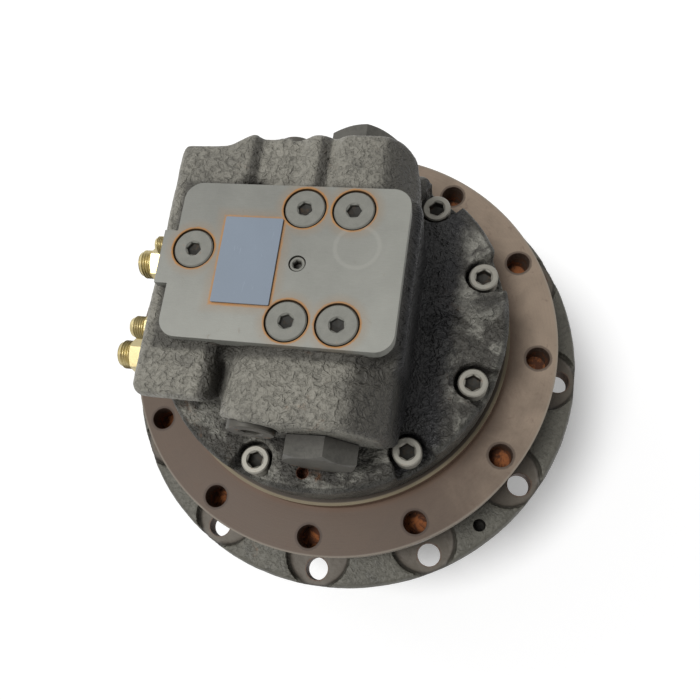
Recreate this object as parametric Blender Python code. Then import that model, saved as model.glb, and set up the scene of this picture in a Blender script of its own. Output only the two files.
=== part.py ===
"""Excavator final drive: travel motor and valve block on a two-stage planetary hub.

The drive stands on its end cover, +Z up to the valve block. The origin is on the drive's axis, in the
cover's flat face. Y runs along the control spool, and the hose ports look along -X. Units are metres.
"""

import math

import bmesh
import bpy
from mathutils import Matrix, Vector

# Fits: pieces that seat or run on each other, teeth, cuts that pass through
SEAT_GAP = 0.0003
TOOTH_BACKLASH = 0.00030
RING_BACKLASH = 0.00060
OVERRUN = 0.002
MERGE_DISTANCE = 0.000001

# Gears: both planet stages share one internal ring cut in the hub
MODULE = 0.00375
RING_TEETH = 48
SUN_TEETH = 12
PLANET_TEETH = 18
STAGE_1_PLANETS = 3
STAGE_2_PLANETS = 4
PRESSURE_ANGLE = math.radians(25.0)
ADDENDUM_SHARE = 0.8
DEDENDUM_SHARE = 1.05
PIN_1_RADIUS = 0.0075
PIN_2_RADIUS = 0.0080

# Heights of the gear stages, from the end cover up
COVER_THICKNESS = 0.012
COVER_GAP = 0.004
STAGE_1_WIDTH = 0.018
STAGE_GAP = 0.0015
CARRIER_THICKNESS = 0.008
STAGE_2_WIDTH = 0.021

# Shaft and the bores it runs through
SHAFT_GEAR_RADIUS = 0.009
SHAFT_SEAL_RADIUS = 0.012
SHAFT_DRIVE_RADIUS = 0.014
SHAFT_END_RADIUS = 0.011
SUN_2_STUB_RADIUS = 0.014

# Main bearings and the nut that holds their inner races
BEARING_SECTION = 0.0195
BEARING_WIDTH = 0.016
RACE_SHARE = 0.27
CAGE_SHARE = 0.33
BALL_COUNT = 12
HUB_SHOULDER_WIDTH = 0.005
HUB_SHOULDER_DEPTH = 0.004
NUT_HEIGHT = 0.0065
NUT_RADIAL = 0.0085
NUT_SLOTS = 6
NUT_SLOT_WIDTH = 0.008
NUT_SLOT_DEPTH = 0.003
THREAD_STEP = 0.002

# Face seal between hub and spindle
SEAL_INSET = 0.0075
SEAL_METAL_WIDTH = 0.0135
SEAL_HEIGHT = 0.008
SEAL_FLOOR = 0.002
SEAL_MOUTH = 0.0015
SKIRT_WALL = 0.0055

# Spindle: the frame flange with its spigot, and the motor's space inside
SPINDLE_WALL = 0.022
FRAME_FACE_ABOVE_SEAL = 0.020
FRAME_FLANGE_THICKNESS = 0.017
FRAME_HOLE_COUNT = 12
FRAME_HOLE_RADIUS = 0.0068
FRAME_HOLE_INSET = 0.0017
FRAME_EDGE_WIDTH = 0.0113
FRAME_EDGE_CHAMFER = 0.0008
SPIGOT_INSET = 0.0178
SPIGOT_HEIGHT = 0.011
BRAKE_SPACE_RADIUS = 0.0545
MOTOR_SPACE_STEP = 0.0045
BRAKE_SPACE_DROP = 0.037

# Hub: sprocket flange, drum and pilot
SPROCKET_HOLE_COUNT = 12
SPROCKET_HOLE_RADIUS = 0.00725
SPROCKET_HOLE_OFFSET = 0.019
SPROCKET_EDGE_WIDTH = 0.011
SPROCKET_FACE_DROP = 0.052
SPOTFACE_DROP = 0.0413
SPOTFACE_RADIUS = 0.0208
SPOTFACE_INSET = 0.0088
RIM_RISE = 0.0043
RIM_ROUND = 0.002
NECK_WALL = 0.0105
HUB_WALL = 0.013
PILOT_STEP = 0.015
PILOT_HEIGHT = 0.006
DRUM_CHAMFER = 0.004
JACK_HOLE_RADIUS = 0.004
JACK_HOLE_TURNS_DEG = (-45.0, 135.0)

# End cover, its locking ring and plugs
COVER_SEAT_RADIUS_STEP = 0.0035
COVER_RIM_RECESS = 0.003
COVER_DISH_DEPTH = 0.0025
COVER_DISH_SHARES = (0.30, 0.62)
LOCK_RING_HEIGHT = 0.0022
LOCK_RING_WIDTH = 0.004
COVER_PLUG_RADIUS = 0.009
COVER_PLUG_DEPTH = 0.0085
COVER_PLUG_SOCKET_FLATS = 0.008
COVER_PLUG_CIRCLE_SHARE = 0.72
COVER_PLUG_TURNS_DEG = (30.0, 150.0)

# Motor: cylinder block, pistons, swash plate and parking brake
SWASH_THICKNESS = 0.011
SHOE_HEIGHT = 0.005
SHOE_SHARE = 0.19
RETAINER_THICKNESS = 0.003
PISTON_COUNT = 9
PISTON_SHARE = 0.158
PISTON_CIRCLE_SHARE = 0.684
BRAKE_SECTION = 0.0165
PISTON_FREE_LENGTH = 0.010
BRAKE_PLATE_THICKNESS = 0.003
BRAKE_PISTON_TRAVEL = 0.0015
BRAKE_STEP_WIDTH = 0.0028
BORE_DEPTH_SHARE = 0.78
PISTON_REACH_SHARE = 0.72
VALVE_PLATE_THICKNESS = 0.0045
VALVE_PLATE_INSET = 0.0035
FRONT_BEARING_WIDTH = 0.012
FRONT_BEARING_RADIUS = 0.026
SHAFT_SEAL_HEIGHT = 0.006
SHAFT_SEAL_OUTER_RADIUS = 0.020
REAR_BEARING_RADIUS = 0.020
REAR_BEARING_WIDTH = 0.013
SHAFT_END_CLEARANCE = 0.0015

# Motor cover: the round base of the valve block, with its screws
DISC_STEP = 0.0035
DISC_RISE = 0.0405
DISC_EDGE_ROUND = 0.0015
SCREW_TURNS_DEG = (-20.0, 20.0, -53.0, 53.0, -108.0, 108.0, 180.0)
SCREW_EDGE = 0.0107
SCREW_HEAD_RADIUS = 0.008
SCREW_HEAD_HEIGHT = 0.010
SCREW_SHANK_RADIUS = 0.005
SCREW_SOCKET_FLATS = 0.008
SCREW_SOCKET_DEPTH = 0.005
SCREW_THREAD_LENGTH = 0.013
POCKET_RADIUS = 0.0102
POCKET_HEAD_SINK = 0.0022
POCKET_FLARE_SHARE = 1.25
RIB_OFFSET = 0.0095
RIB_RADIUS = 0.008
RIB_RISE_SHARE = 0.55
BUMP_RADIUS = 0.0065
BUMP_TURN_DEG = 62.5
BUMP_EDGE = 0.007
BUMP_RISE = 0.003
DISC_HOLE_RADIUS = 0.0036
DISC_HOLE_DEPTH = 0.010

# Valve block: casting, machined face, port walls
FACE_RISE = 0.100
FACE_STEP = 0.0055
FACE_LEFT = 0.066
FACE_RIGHT = 0.0465
FACE_HALF_WIDTH = 0.0405
FACE_CORNER = 0.009
TAB_HALF_WIDTH = 0.014
TAB_LEFT = 0.0732
BLOCK_LEFT = 0.078
BLOCK_RIGHT = 0.0475
BLOCK_DRAFT = 0.004
BLOCK_UNDERSIDE = 0.0435
WING_HALF_WIDTH = 0.0682
WING_SIDE_DEPTH = 0.008
WING_UNDERCUT = 0.0165
WING_END = -0.042
HORN_LEFT = -0.052
HORN_PEAK = -0.041
HORN_RIGHT = -0.0365
HORN_HALF_WIDTH = 0.0752
HORN_BASE = 0.048
HORN_DRAFT = 0.004
WEB_LEFT = -0.039
WEB_SINK = 0.0030
LOBE_START = -0.031
LOBE_HALF_LENGTH = 0.0765
LOBE_END_DRAFT = 0.006
LOBE_SIDE_DRAFT = 0.004
LOBE_CORNER_CUTS = ((0.0115, 0.0065), (0.0045, 0.0165))
VALLEY_SLOPE = 0.004
FOOT_HALF_WIDTH = 0.052
CAST_EDGE = 0.003
FOOT_SPREAD = 0.006
FOOT_RISE = 0.007

# Bores of the valve block and what closes them
SPOOL_X = 0.0125
SPOOL_RISE = 0.061
SPOOL_BORE_RADIUS = 0.014
SPOOL_END_ROOM = 0.0075
SPOOL_LAND_SHARES = (0.0, 0.42, 0.80)
SPOOL_LAND_WIDTH_SHARE = 0.17
SPOOL_NECK_SHARE = 0.62
SPOOL_TRAVEL = 0.004
CAP_FLATS = 0.036
CAP_TURNS_DEG = (14.0, 20.0)
CAP_HEX_LENGTHS = (0.0115, 0.0160)
CAP_THREAD_LENGTH = 0.013
CAP_CHAMFER = 0.0016
RELIEF_X = -0.0200
RELIEF_RISE = 0.0755
RELIEF_BOSS_RADIUS = 0.0165
RELIEF_BORE_RADIUS = 0.009
RELIEF_BORE_DEPTH = 0.022
RELIEF_HEAD_RADIUS = 0.0122
RELIEF_HEAD_HEIGHT = 0.004
RELIEF_SOCKET_FLATS = 0.010
RELIEF_PROUD = 0.0015

# Plugs of the machined face: two pairs over the spool, one by the tab, one in the middle
PLUG_COLUMN_1_X = -0.0040
PLUG_COLUMN_2_X = 0.0200
PLUG_ROW_Y = 0.0289
TAB_PLUG_X = -0.0563
TAB_PLUG_Y = 0.0050
FACE_PLUG_HEAD_RADIUS = 0.0097
FACE_PLUG_RECESS_RADIUS = 0.0111
FACE_PLUG_HEAD_HEIGHT = 0.003
FACE_PLUG_THREAD_RADIUS = 0.007
FACE_PLUG_THREAD_LENGTH = 0.009
FACE_PLUG_SOCKET_FLATS = 0.007
FACE_PLUG_SOCKET_DEPTH = 0.006
SOCKET_TURN_STEP_DEG = 17.0
CENTRE_PLUG_X = -0.0033
CENTRE_PLUG_RADIUS = 0.0038
CENTRE_PLUG_LENGTH = 0.008
CENTRE_PLUG_SINK = 0.0006
CENTRE_PLUG_SOCKET_FLATS = 0.0040
CENTRE_PLUG_SOCKET_DEPTH = 0.004

# Bare plate on the machined face
PLATE_LEFT = -0.0422
PLATE_RIGHT = -0.0133
PLATE_HALF_LENGTH = 0.0223
PLATE_THICKNESS = 0.0007

# Hose fittings of the port wall: place across, rise above the frame face, and size of each
MAIN_PORT_RISE = 0.0530
MAIN_PORT_1_Y = 0.0185
MAIN_PORT_2_Y = -0.0370
PILOT_PORT_RISE = 0.0760
PILOT_PORT_1_Y = 0.0185
PILOT_PORT_2_Y = -0.0290
LARGE_FITTING = {"thread": 0.0080, "flats": 0.019, "hex": 0.022, "reach": 0.0315, "bore": 0.0045, "shank": 0.0065}
SMALL_FITTING = {"thread": 0.0060, "flats": 0.014, "hex": 0.006, "reach": 0.0145, "bore": 0.0030, "shank": 0.0045}
SHORT_FITTING = {"thread": 0.0048, "flats": 0.012, "hex": 0.005, "reach": 0.0115, "bore": 0.0025, "shank": 0.0040}
FITTING_SHANK_LENGTH = 0.011
FITTING_THREAD_CHAMFER = 0.001
PORT_SEAT_DEPTH = 0.0008
PORT_SEAT_MARGIN = 0.0015

# Facets of round pieces
LARGE_ROUND = 36
MEDIUM_ROUND = 20
SMALL_ROUND = 12
FINE_ROUND = 10
COARSE_ROUND = 8
BALL_SEGMENTS = 6
BALL_RINGS = 4
RING_FLANK_STEPS = 1
FLANK_STEPS = 2
SMOOTH_ANGLE = math.radians(32.0)

# Cast shoulder of the block: steps across it, how it falls to its sides, and the dips between its bores,
# each with a centre and a half width in shares of the lobe's width, and a depth in shares of the fall
SHOULDER_STEPS = 14
SHOULDER_FALL = 0.009
SHOULDER_POWER = 5.0
FRONT_DIPS_SHARES = ((1.0, 0.28, 0.65),)
BACK_DIPS_SHARES = ((0.10, 0.20, 0.95), (0.44, 0.07, 0.50), (1.0, 0.22, 0.80))

# Pitch circles
RING_PITCH_RADIUS = MODULE * RING_TEETH / 2
SUN_PITCH_RADIUS = MODULE * SUN_TEETH / 2
PLANET_PITCH_RADIUS = MODULE * PLANET_TEETH / 2
PLANET_ORBIT_RADIUS = SUN_PITCH_RADIUS + PLANET_PITCH_RADIUS
ADDENDUM = MODULE * ADDENDUM_SHARE
DEDENDUM = MODULE * DEDENDUM_SHARE
RING_TIP_RADIUS = RING_PITCH_RADIUS - ADDENDUM
RING_ROOT_RADIUS = RING_PITCH_RADIUS + DEDENDUM

# Radii that follow from the gears outward
BEARING_OUTER_RADIUS = RING_TIP_RADIUS - SEAT_GAP
BEARING_BORE_RADIUS = BEARING_OUTER_RADIUS - BEARING_SECTION
SPINDLE_SEAT_RADIUS = BEARING_BORE_RADIUS - SEAT_GAP
SPINDLE_END_RADIUS = SPINDLE_SEAT_RADIUS - THREAD_STEP
SEAL_INNER_RADIUS = BEARING_OUTER_RADIUS + SEAL_INSET
SEAL_OUTER_RADIUS = SEAL_INNER_RADIUS + SEAL_METAL_WIDTH
SKIRT_RADIUS = SEAL_OUTER_RADIUS + SEAT_GAP + SKIRT_WALL
FRAME_HOLE_CIRCLE = SKIRT_RADIUS + FRAME_HOLE_INSET + FRAME_HOLE_RADIUS
FRAME_FLANGE_RADIUS = FRAME_HOLE_CIRCLE + FRAME_EDGE_WIDTH
SPIGOT_RADIUS = FRAME_HOLE_CIRCLE - SPIGOT_INSET
SPROCKET_HOLE_CIRCLE = FRAME_HOLE_CIRCLE + SPROCKET_HOLE_OFFSET
SPROCKET_FLANGE_RADIUS = SPROCKET_HOLE_CIRCLE + SPROCKET_EDGE_WIDTH
DRUM_RADIUS = RING_ROOT_RADIUS + HUB_WALL
PILOT_RADIUS = DRUM_RADIUS + PILOT_STEP
NECK_RADIUS = SEAL_OUTER_RADIUS + NECK_WALL
COVER_RADIUS = RING_ROOT_RADIUS + COVER_SEAT_RADIUS_STEP
DISC_RADIUS = SPIGOT_RADIUS - DISC_STEP
SCREW_CIRCLE = DISC_RADIUS - SCREW_EDGE

# Motor radii that follow from the space round it
MOTOR_SPACE_RADIUS = BRAKE_SPACE_RADIUS - MOTOR_SPACE_STEP
BLOCK_RADIUS = BRAKE_SPACE_RADIUS - BRAKE_SECTION
PISTON_RADIUS = BLOCK_RADIUS * PISTON_SHARE
PISTON_CIRCLE_RADIUS = BLOCK_RADIUS * PISTON_CIRCLE_SHARE
SHOE_RADIUS = BLOCK_RADIUS * SHOE_SHARE
VALVE_PLATE_RADIUS = BLOCK_RADIUS - VALVE_PLATE_INSET

# Heights that follow from the stages upward
STAGE_1_BOTTOM = COVER_THICKNESS + COVER_GAP
STAGE_1_TOP = STAGE_1_BOTTOM + STAGE_1_WIDTH
CARRIER_BOTTOM = STAGE_1_TOP + STAGE_GAP
CARRIER_TOP = CARRIER_BOTTOM + CARRIER_THICKNESS
STAGE_2_BOTTOM = CARRIER_TOP + STAGE_GAP
STAGE_2_TOP = STAGE_2_BOTTOM + STAGE_2_WIDTH
SPINDLE_BOTTOM = STAGE_2_TOP + STAGE_GAP
NUT_TOP = SPINDLE_BOTTOM + STAGE_GAP + NUT_HEIGHT
BEARING_1_BOTTOM = NUT_TOP + SEAT_GAP
BEARING_1_TOP = BEARING_1_BOTTOM + BEARING_WIDTH
HUB_SHOULDER_BOTTOM = BEARING_1_TOP + SEAT_GAP
HUB_SHOULDER_TOP = HUB_SHOULDER_BOTTOM + HUB_SHOULDER_WIDTH
BEARING_2_BOTTOM = HUB_SHOULDER_TOP + SEAT_GAP
BEARING_2_TOP = BEARING_2_BOTTOM + BEARING_WIDTH
SPINDLE_SHOULDER = BEARING_2_TOP + SEAT_GAP
SEAL_1_BOTTOM = SPINDLE_SHOULDER + SEAL_FLOOR
SEAL_1_TOP = SEAL_1_BOTTOM + SEAL_HEIGHT
SEAL_2_BOTTOM = SEAL_1_TOP + SEAT_GAP
SEAL_2_TOP = SEAL_2_BOTTOM + SEAL_HEIGHT
FRAME_FACE_HEIGHT = SEAL_2_TOP + FRAME_FACE_ABOVE_SEAL
FRAME_FLANGE_BOTTOM = FRAME_FACE_HEIGHT - FRAME_FLANGE_THICKNESS
SPIGOT_TOP = FRAME_FACE_HEIGHT + SPIGOT_HEIGHT
DISC_BOTTOM = SPIGOT_TOP + SEAT_GAP
DISC_TOP = FRAME_FACE_HEIGHT + DISC_RISE
SPROCKET_SEAT = FRAME_FACE_HEIGHT - SPROCKET_FACE_DROP
SPOTFACE_LEVEL = FRAME_FACE_HEIGHT - SPOTFACE_DROP
RIM_LEVEL = SPOTFACE_LEVEL + RIM_RISE
MOTOR_FLOOR = SPINDLE_BOTTOM + SPINDLE_WALL
SWASH_BOTTOM = MOTOR_FLOOR + SEAT_GAP
SWASH_TOP = SWASH_BOTTOM + SWASH_THICKNESS
SHOE_BOTTOM = SWASH_TOP + SEAT_GAP
SHOE_TOP = SHOE_BOTTOM + SHOE_HEIGHT
VALVE_PLATE_BOTTOM = DISC_BOTTOM - SEAT_GAP - VALVE_PLATE_THICKNESS
CYLINDER_BOTTOM = SHOE_TOP + PISTON_FREE_LENGTH
CYLINDER_TOP = VALVE_PLATE_BOTTOM - SEAT_GAP
BRAKE_SPACE_BOTTOM = SPIGOT_TOP - BRAKE_SPACE_DROP
BRAKE_DISC_BOTTOM = BRAKE_SPACE_BOTTOM + SEAT_GAP
BRAKE_PLATE_BOTTOM = BRAKE_DISC_BOTTOM + BRAKE_PLATE_THICKNESS + SEAT_GAP
BRAKE_PISTON_BOTTOM = BRAKE_PLATE_BOTTOM + BRAKE_PLATE_THICKNESS + SEAT_GAP
BRAKE_PISTON_TOP = DISC_BOTTOM - BRAKE_PISTON_TRAVEL - SEAT_GAP
REAR_BEARING_TOP = DISC_BOTTOM + REAR_BEARING_WIDTH
FACE_LEVEL = FRAME_FACE_HEIGHT + FACE_RISE
SHOULDER_LEVEL = FACE_LEVEL - FACE_STEP
UNDERSIDE_LEVEL = FRAME_FACE_HEIGHT + BLOCK_UNDERSIDE
SPOOL_LEVEL = FRAME_FACE_HEIGHT + SPOOL_RISE
RELIEF_LEVEL = FRAME_FACE_HEIGHT + RELIEF_RISE
SPOOL_HALF_LENGTH = LOBE_HALF_LENGTH - CAP_THREAD_LENGTH - SPOOL_END_ROOM
POCKET_FLOOR = DISC_TOP - POCKET_HEAD_SINK - SCREW_HEAD_HEIGHT - SEAT_GAP

# Places that the block and what screws into it share
FACE_PLUG_PLACES = (
    (PLUG_COLUMN_1_X, PLUG_ROW_Y), (PLUG_COLUMN_2_X, PLUG_ROW_Y), (PLUG_COLUMN_1_X, -PLUG_ROW_Y),
    (PLUG_COLUMN_2_X, -PLUG_ROW_Y), (TAB_PLUG_X, TAB_PLUG_Y),
)
FITTINGS = (
    (MAIN_PORT_1_Y, FRAME_FACE_HEIGHT + MAIN_PORT_RISE, LARGE_FITTING),
    (MAIN_PORT_2_Y, FRAME_FACE_HEIGHT + MAIN_PORT_RISE, LARGE_FITTING),
    (PILOT_PORT_1_Y, FRAME_FACE_HEIGHT + PILOT_PORT_RISE, SHORT_FITTING),
    (PILOT_PORT_2_Y, FRAME_FACE_HEIGHT + PILOT_PORT_RISE, SMALL_FITTING),
)

# Finishes: base colour, roughness and metallic value of each
FINISHES = {
    "dark_casting": ((0.145, 0.145, 0.135), 0.62, 0.55),
    "hub_casting": ((0.085, 0.092, 0.085), 0.60, 0.50),
    "machined_rusted": ((0.230, 0.180, 0.150), 0.48, 0.70),
    "machined_steel": ((0.420, 0.420, 0.400), 0.35, 0.95),
    "screw_steel": ((0.300, 0.295, 0.280), 0.38, 0.90),
    "yellow_zinc": ((0.620, 0.500, 0.220), 0.30, 0.95),
    "bare_plate": ((0.250, 0.300, 0.360), 0.55, 0.40),
    "gear_steel": ((0.360, 0.350, 0.330), 0.32, 0.95),
    "bronze": ((0.500, 0.330, 0.160), 0.36, 0.90),
    "bearing_steel": ((0.520, 0.520, 0.530), 0.22, 0.98),
    "friction_lining": ((0.200, 0.150, 0.110), 0.85, 0.10),
    "seal_rubber": ((0.030, 0.030, 0.032), 0.75, 0.00),
}


def clear_scene():
    for old in list(bpy.data.objects):
        bpy.data.objects.remove(old, do_unlink=True)


def finish_material(node, finish):
    """Each piece has its own material, named after the piece."""
    colour, roughness, metallic = FINISHES[finish]
    material = bpy.data.materials.new(node + "_finish")
    material.use_nodes = True
    shader = material.node_tree.nodes["Principled BSDF"]
    shader.inputs["Base Color"].default_value = (*colour, 1.0)
    shader.inputs["Roughness"].default_value = roughness
    shader.inputs["Metallic"].default_value = metallic
    return material


def place(node, bm, finish=None, location=(0, 0, 0), turn=0.0, parent=None):
    """Turns a bmesh into an object. Its origin lies on the axis that it turns about."""
    bmesh.ops.recalc_face_normals(bm, faces=bm.faces)
    mesh = bpy.data.meshes.new(node)
    bm.to_mesh(mesh)
    bm.free()
    mesh.shade_smooth()
    mesh.set_sharp_from_angle(angle=SMOOTH_ANGLE)
    piece = bpy.data.objects.new(node, mesh)
    bpy.context.scene.collection.objects.link(piece)
    piece.location = location
    piece.rotation_euler = (0, 0, turn)
    if parent:
        piece.parent = parent
    if finish:
        mesh.materials.append(finish_material(node, finish))
    return piece


def pivot(name, location=(0, 0, 0)):
    """An empty on a joint's axis, which carries the pieces of one moving body."""
    empty = bpy.data.objects.new(name, None)
    bpy.context.scene.collection.objects.link(empty)
    empty.location = location
    return empty


def combine(piece, tool_mesh, operation):
    """Cuts, joins or intersects a piece with the shape in a bmesh, and leaves one plain mesh."""
    tool = place("cutting_tool", tool_mesh)
    change = piece.modifiers.new(operation, "BOOLEAN")
    change.operation = operation
    change.solver = "EXACT"
    change.object = tool
    bpy.context.view_layer.update()
    graph = bpy.context.evaluated_depsgraph_get()
    changed = bpy.data.meshes.new_from_object(piece.evaluated_get(graph))
    piece.modifiers.clear()
    bm = bmesh.new()
    bm.from_mesh(changed)
    bmesh.ops.remove_doubles(bm, verts=bm.verts, dist=MERGE_DISTANCE)
    bmesh.ops.dissolve_degenerate(bm, edges=bm.edges, dist=MERGE_DISTANCE)
    bm.to_mesh(changed)
    bm.free()
    old = piece.data
    piece.data = changed
    changed.name = old.name
    bpy.data.meshes.remove(old)
    bpy.data.objects.remove(tool, do_unlink=True)
    piece.data.shade_smooth()
    piece.data.set_sharp_from_angle(angle=SMOOTH_ANGLE)


def cut(piece, tool_mesh):
    combine(piece, tool_mesh, "DIFFERENCE")


def join(piece, tool_mesh):
    combine(piece, tool_mesh, "UNION")


def polar(radius, angle, height=0.0):
    return Vector((radius * math.cos(angle), radius * math.sin(angle), height))


def turned(profile, segments=LARGE_ROUND, closed=True, phase=0.0):
    """Revolves a profile of (radius, height) points about Z. An open one ends on the axis, in two flat caps."""
    bm = bmesh.new()
    rows = profile if closed else profile[1:-1]
    points = [bm.verts.new(polar(radius, phase, height)) for radius, height in rows]
    pairs = list(zip(points, points[1:]))
    if closed:
        pairs.append((points[-1], points[0]))
    edges = [bm.edges.new(pair) for pair in pairs]
    bmesh.ops.spin(bm, geom=points + edges, cent=(0, 0, 0), axis=(0, 0, 1), dvec=(0, 0, 0),
                   angle=math.tau, steps=segments, use_merge=True, use_duplicate=False)
    bmesh.ops.remove_doubles(bm, verts=bm.verts, dist=MERGE_DISTANCE)
    if not closed:
        bmesh.ops.holes_fill(bm, edges=bm.edges, sides=0)
    bmesh.ops.recalc_face_normals(bm, faces=bm.faces)
    return bm


def tube(outer, inner, bottom, top, segments=LARGE_ROUND):
    return turned([(outer, bottom), (outer, top), (inner, top), (inner, bottom)], segments)


def rod(radius, bottom, top, segments=SMALL_ROUND):
    return turned([(0, bottom), (radius, bottom), (radius, top), (0, top)], segments, closed=False)


def prism(outline, bottom, top):
    """Extrudes a flat outline of (x, y) points along Z."""
    bm = bmesh.new()
    corners = [bm.verts.new((x, y, bottom)) for x, y in outline]
    face = bm.faces.new(corners)
    lifted = bmesh.ops.extrude_face_region(bm, geom=[face])
    moved = [item for item in lifted["geom"] if isinstance(item, bmesh.types.BMVert)]
    bmesh.ops.translate(bm, verts=moved, vec=(0, 0, top - bottom))
    bmesh.ops.recalc_face_normals(bm, faces=bm.faces)
    return bm


def ringed_prism(outline, hole, bottom, top):
    """Extrudes an outline with one hole along Z."""
    bm = bmesh.new()
    edges = []
    for loop in (outline, hole):
        corners = [bm.verts.new((x, y, bottom)) for x, y in loop]
        edges += [bm.edges.new(pair) for pair in zip(corners, corners[1:] + corners[:1])]
    bmesh.ops.triangle_fill(bm, edges=edges, use_beauty=True, use_dissolve=False)
    lifted = bmesh.ops.extrude_face_region(bm, geom=list(bm.faces))
    moved = [item for item in lifted["geom"] if isinstance(item, bmesh.types.BMVert)]
    bmesh.ops.translate(bm, verts=moved, vec=(0, 0, top - bottom))
    bmesh.ops.recalc_face_normals(bm, faces=bm.faces)
    return bm


def tapered_prism(outline, levels):
    """Stacks scaled copies of an outline: levels holds (height, inset) pairs, bottom first."""
    xs = [x for x, _ in outline]
    ys = [y for _, y in outline]
    middle = Vector(((min(xs) + max(xs)) / 2, (min(ys) + max(ys)) / 2))
    half = Vector(((max(xs) - min(xs)) / 2, (max(ys) - min(ys)) / 2))
    bm = bmesh.new()
    rows = []
    for height, inset in levels:
        share = Vector(((half.x - inset) / half.x, (half.y - inset) / half.y))
        row = [bm.verts.new((middle.x + (x - middle.x) * share.x, middle.y + (y - middle.y) * share.y, height))
               for x, y in outline]
        rows.append(row)
    for lower, upper in zip(rows, rows[1:]):
        for index, corner in enumerate(lower):
            after = (index + 1) % len(lower)
            bm.faces.new((corner, lower[after], upper[after], upper[index]))
    bm.faces.new(rows[0])
    bm.faces.new(rows[-1])
    bmesh.ops.recalc_face_normals(bm, faces=bm.faces)
    return bm


def merged(*parts):
    """One bmesh with the shapes of several that don't touch."""
    whole = bmesh.new()
    for part in parts:
        holder = bpy.data.meshes.new("holder")
        part.to_mesh(holder)
        part.free()
        whole.from_mesh(holder)
        bpy.data.meshes.remove(holder)
    return whole


def moved_to(bm, offset):
    bmesh.ops.translate(bm, verts=bm.verts, vec=offset)
    return bm


def laid_along(bm, direction):
    """Turns a shape built along +Z so that +Z points along the direction."""
    turn = Vector((0, 0, 1)).rotation_difference(Vector(direction)).to_matrix()
    bmesh.ops.rotate(bm, verts=bm.verts, cent=(0, 0, 0), matrix=turn)
    return bm


def around(count, make, radius, start=0.0):
    """Copies of a shape on a circle about Z, as one bmesh."""
    return merged(*[moved_to(make(), polar(radius, start + math.tau * step / count)) for step in range(count)])


def at_turns(turns_deg, make, radius):
    return merged(*[moved_to(make(), polar(radius, math.radians(turn))) for turn in turns_deg])


def circle_points(radius, count, phase=0.0):
    return [(radius * math.cos(phase + math.tau * step / count), radius * math.sin(phase + math.tau * step / count))
            for step in range(count)]


def hexagon(flats, phase=0.0):
    return circle_points(flats / 2 / math.cos(math.pi / 6), 6, phase)


def rounded_rectangle(left, right, low, high, corner, steps=4):
    points = []
    for centre_x, centre_y, start in ((right - corner, low + corner, -90), (right - corner, high - corner, 0),
                                      (left + corner, high - corner, 90), (left + corner, low + corner, 180)):
        for step in range(steps + 1):
            angle = math.radians(start) + math.pi / 2 * step / steps
            points.append((centre_x + corner * math.cos(angle), centre_y + corner * math.sin(angle)))
    return points


def tooth_half_angle(teeth, radius, thinning):
    """Half of a tooth's thickness as an angle at a radius, from the involute of its base circle."""
    pitch_radius = MODULE * teeth / 2
    base_radius = pitch_radius * math.cos(PRESSURE_ANGLE)
    pressure = math.acos(min(base_radius / radius, 1.0))
    roll = (math.tan(PRESSURE_ANGLE) - PRESSURE_ANGLE) - (math.tan(pressure) - pressure)
    return math.pi / 2 / teeth + roll - thinning / 2 / pitch_radius


def gear_outline(teeth, tip_radius, root_radius, thinning, phase=0.0, steps=FLANK_STEPS):
    """Outline of an external gear. The ring's tooth spaces are the teeth of such a gear."""
    flank = [root_radius + (tip_radius - root_radius) * step / steps for step in range(steps + 1)]
    sides = [(radius, tooth_half_angle(teeth, radius, thinning)) for radius in flank]
    points = []
    for tooth in range(teeth):
        centre = phase + math.tau * tooth / teeth
        points += [(r * math.cos(centre - half), r * math.sin(centre - half)) for r, half in sides]
        points += [(r * math.cos(centre + half), r * math.sin(centre + half)) for r, half in reversed(sides)]
    return points


def hex_socket(flats, depth, top):
    return prism(hexagon(flats), top - depth, top + OVERRUN)


def make_gear(node, teeth, bore, bottom, top, phase, location, finish, parent, stub=None):
    """A spur gear with a plain bore; stub adds a round neck below it."""
    pitch_radius = MODULE * teeth / 2
    outline = gear_outline(teeth, pitch_radius + ADDENDUM, pitch_radius - DEDENDUM, TOOTH_BACKLASH, phase)
    hole = circle_points(bore, SMALL_ROUND)
    gear = place(node, ringed_prism(outline, hole, bottom, top), finish, location, 0.0, parent)
    if stub:
        stub_radius, stub_bottom = stub
        join(gear, tube(stub_radius, bore, stub_bottom, bottom + OVERRUN, SMALL_ROUND))
    return gear


def planet_phase(turn):
    """Turn of a planet that sits at an angle, so that it meshes with the ring, whose first space is on +X."""
    return turn - turn * RING_TEETH / PLANET_TEETH


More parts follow.
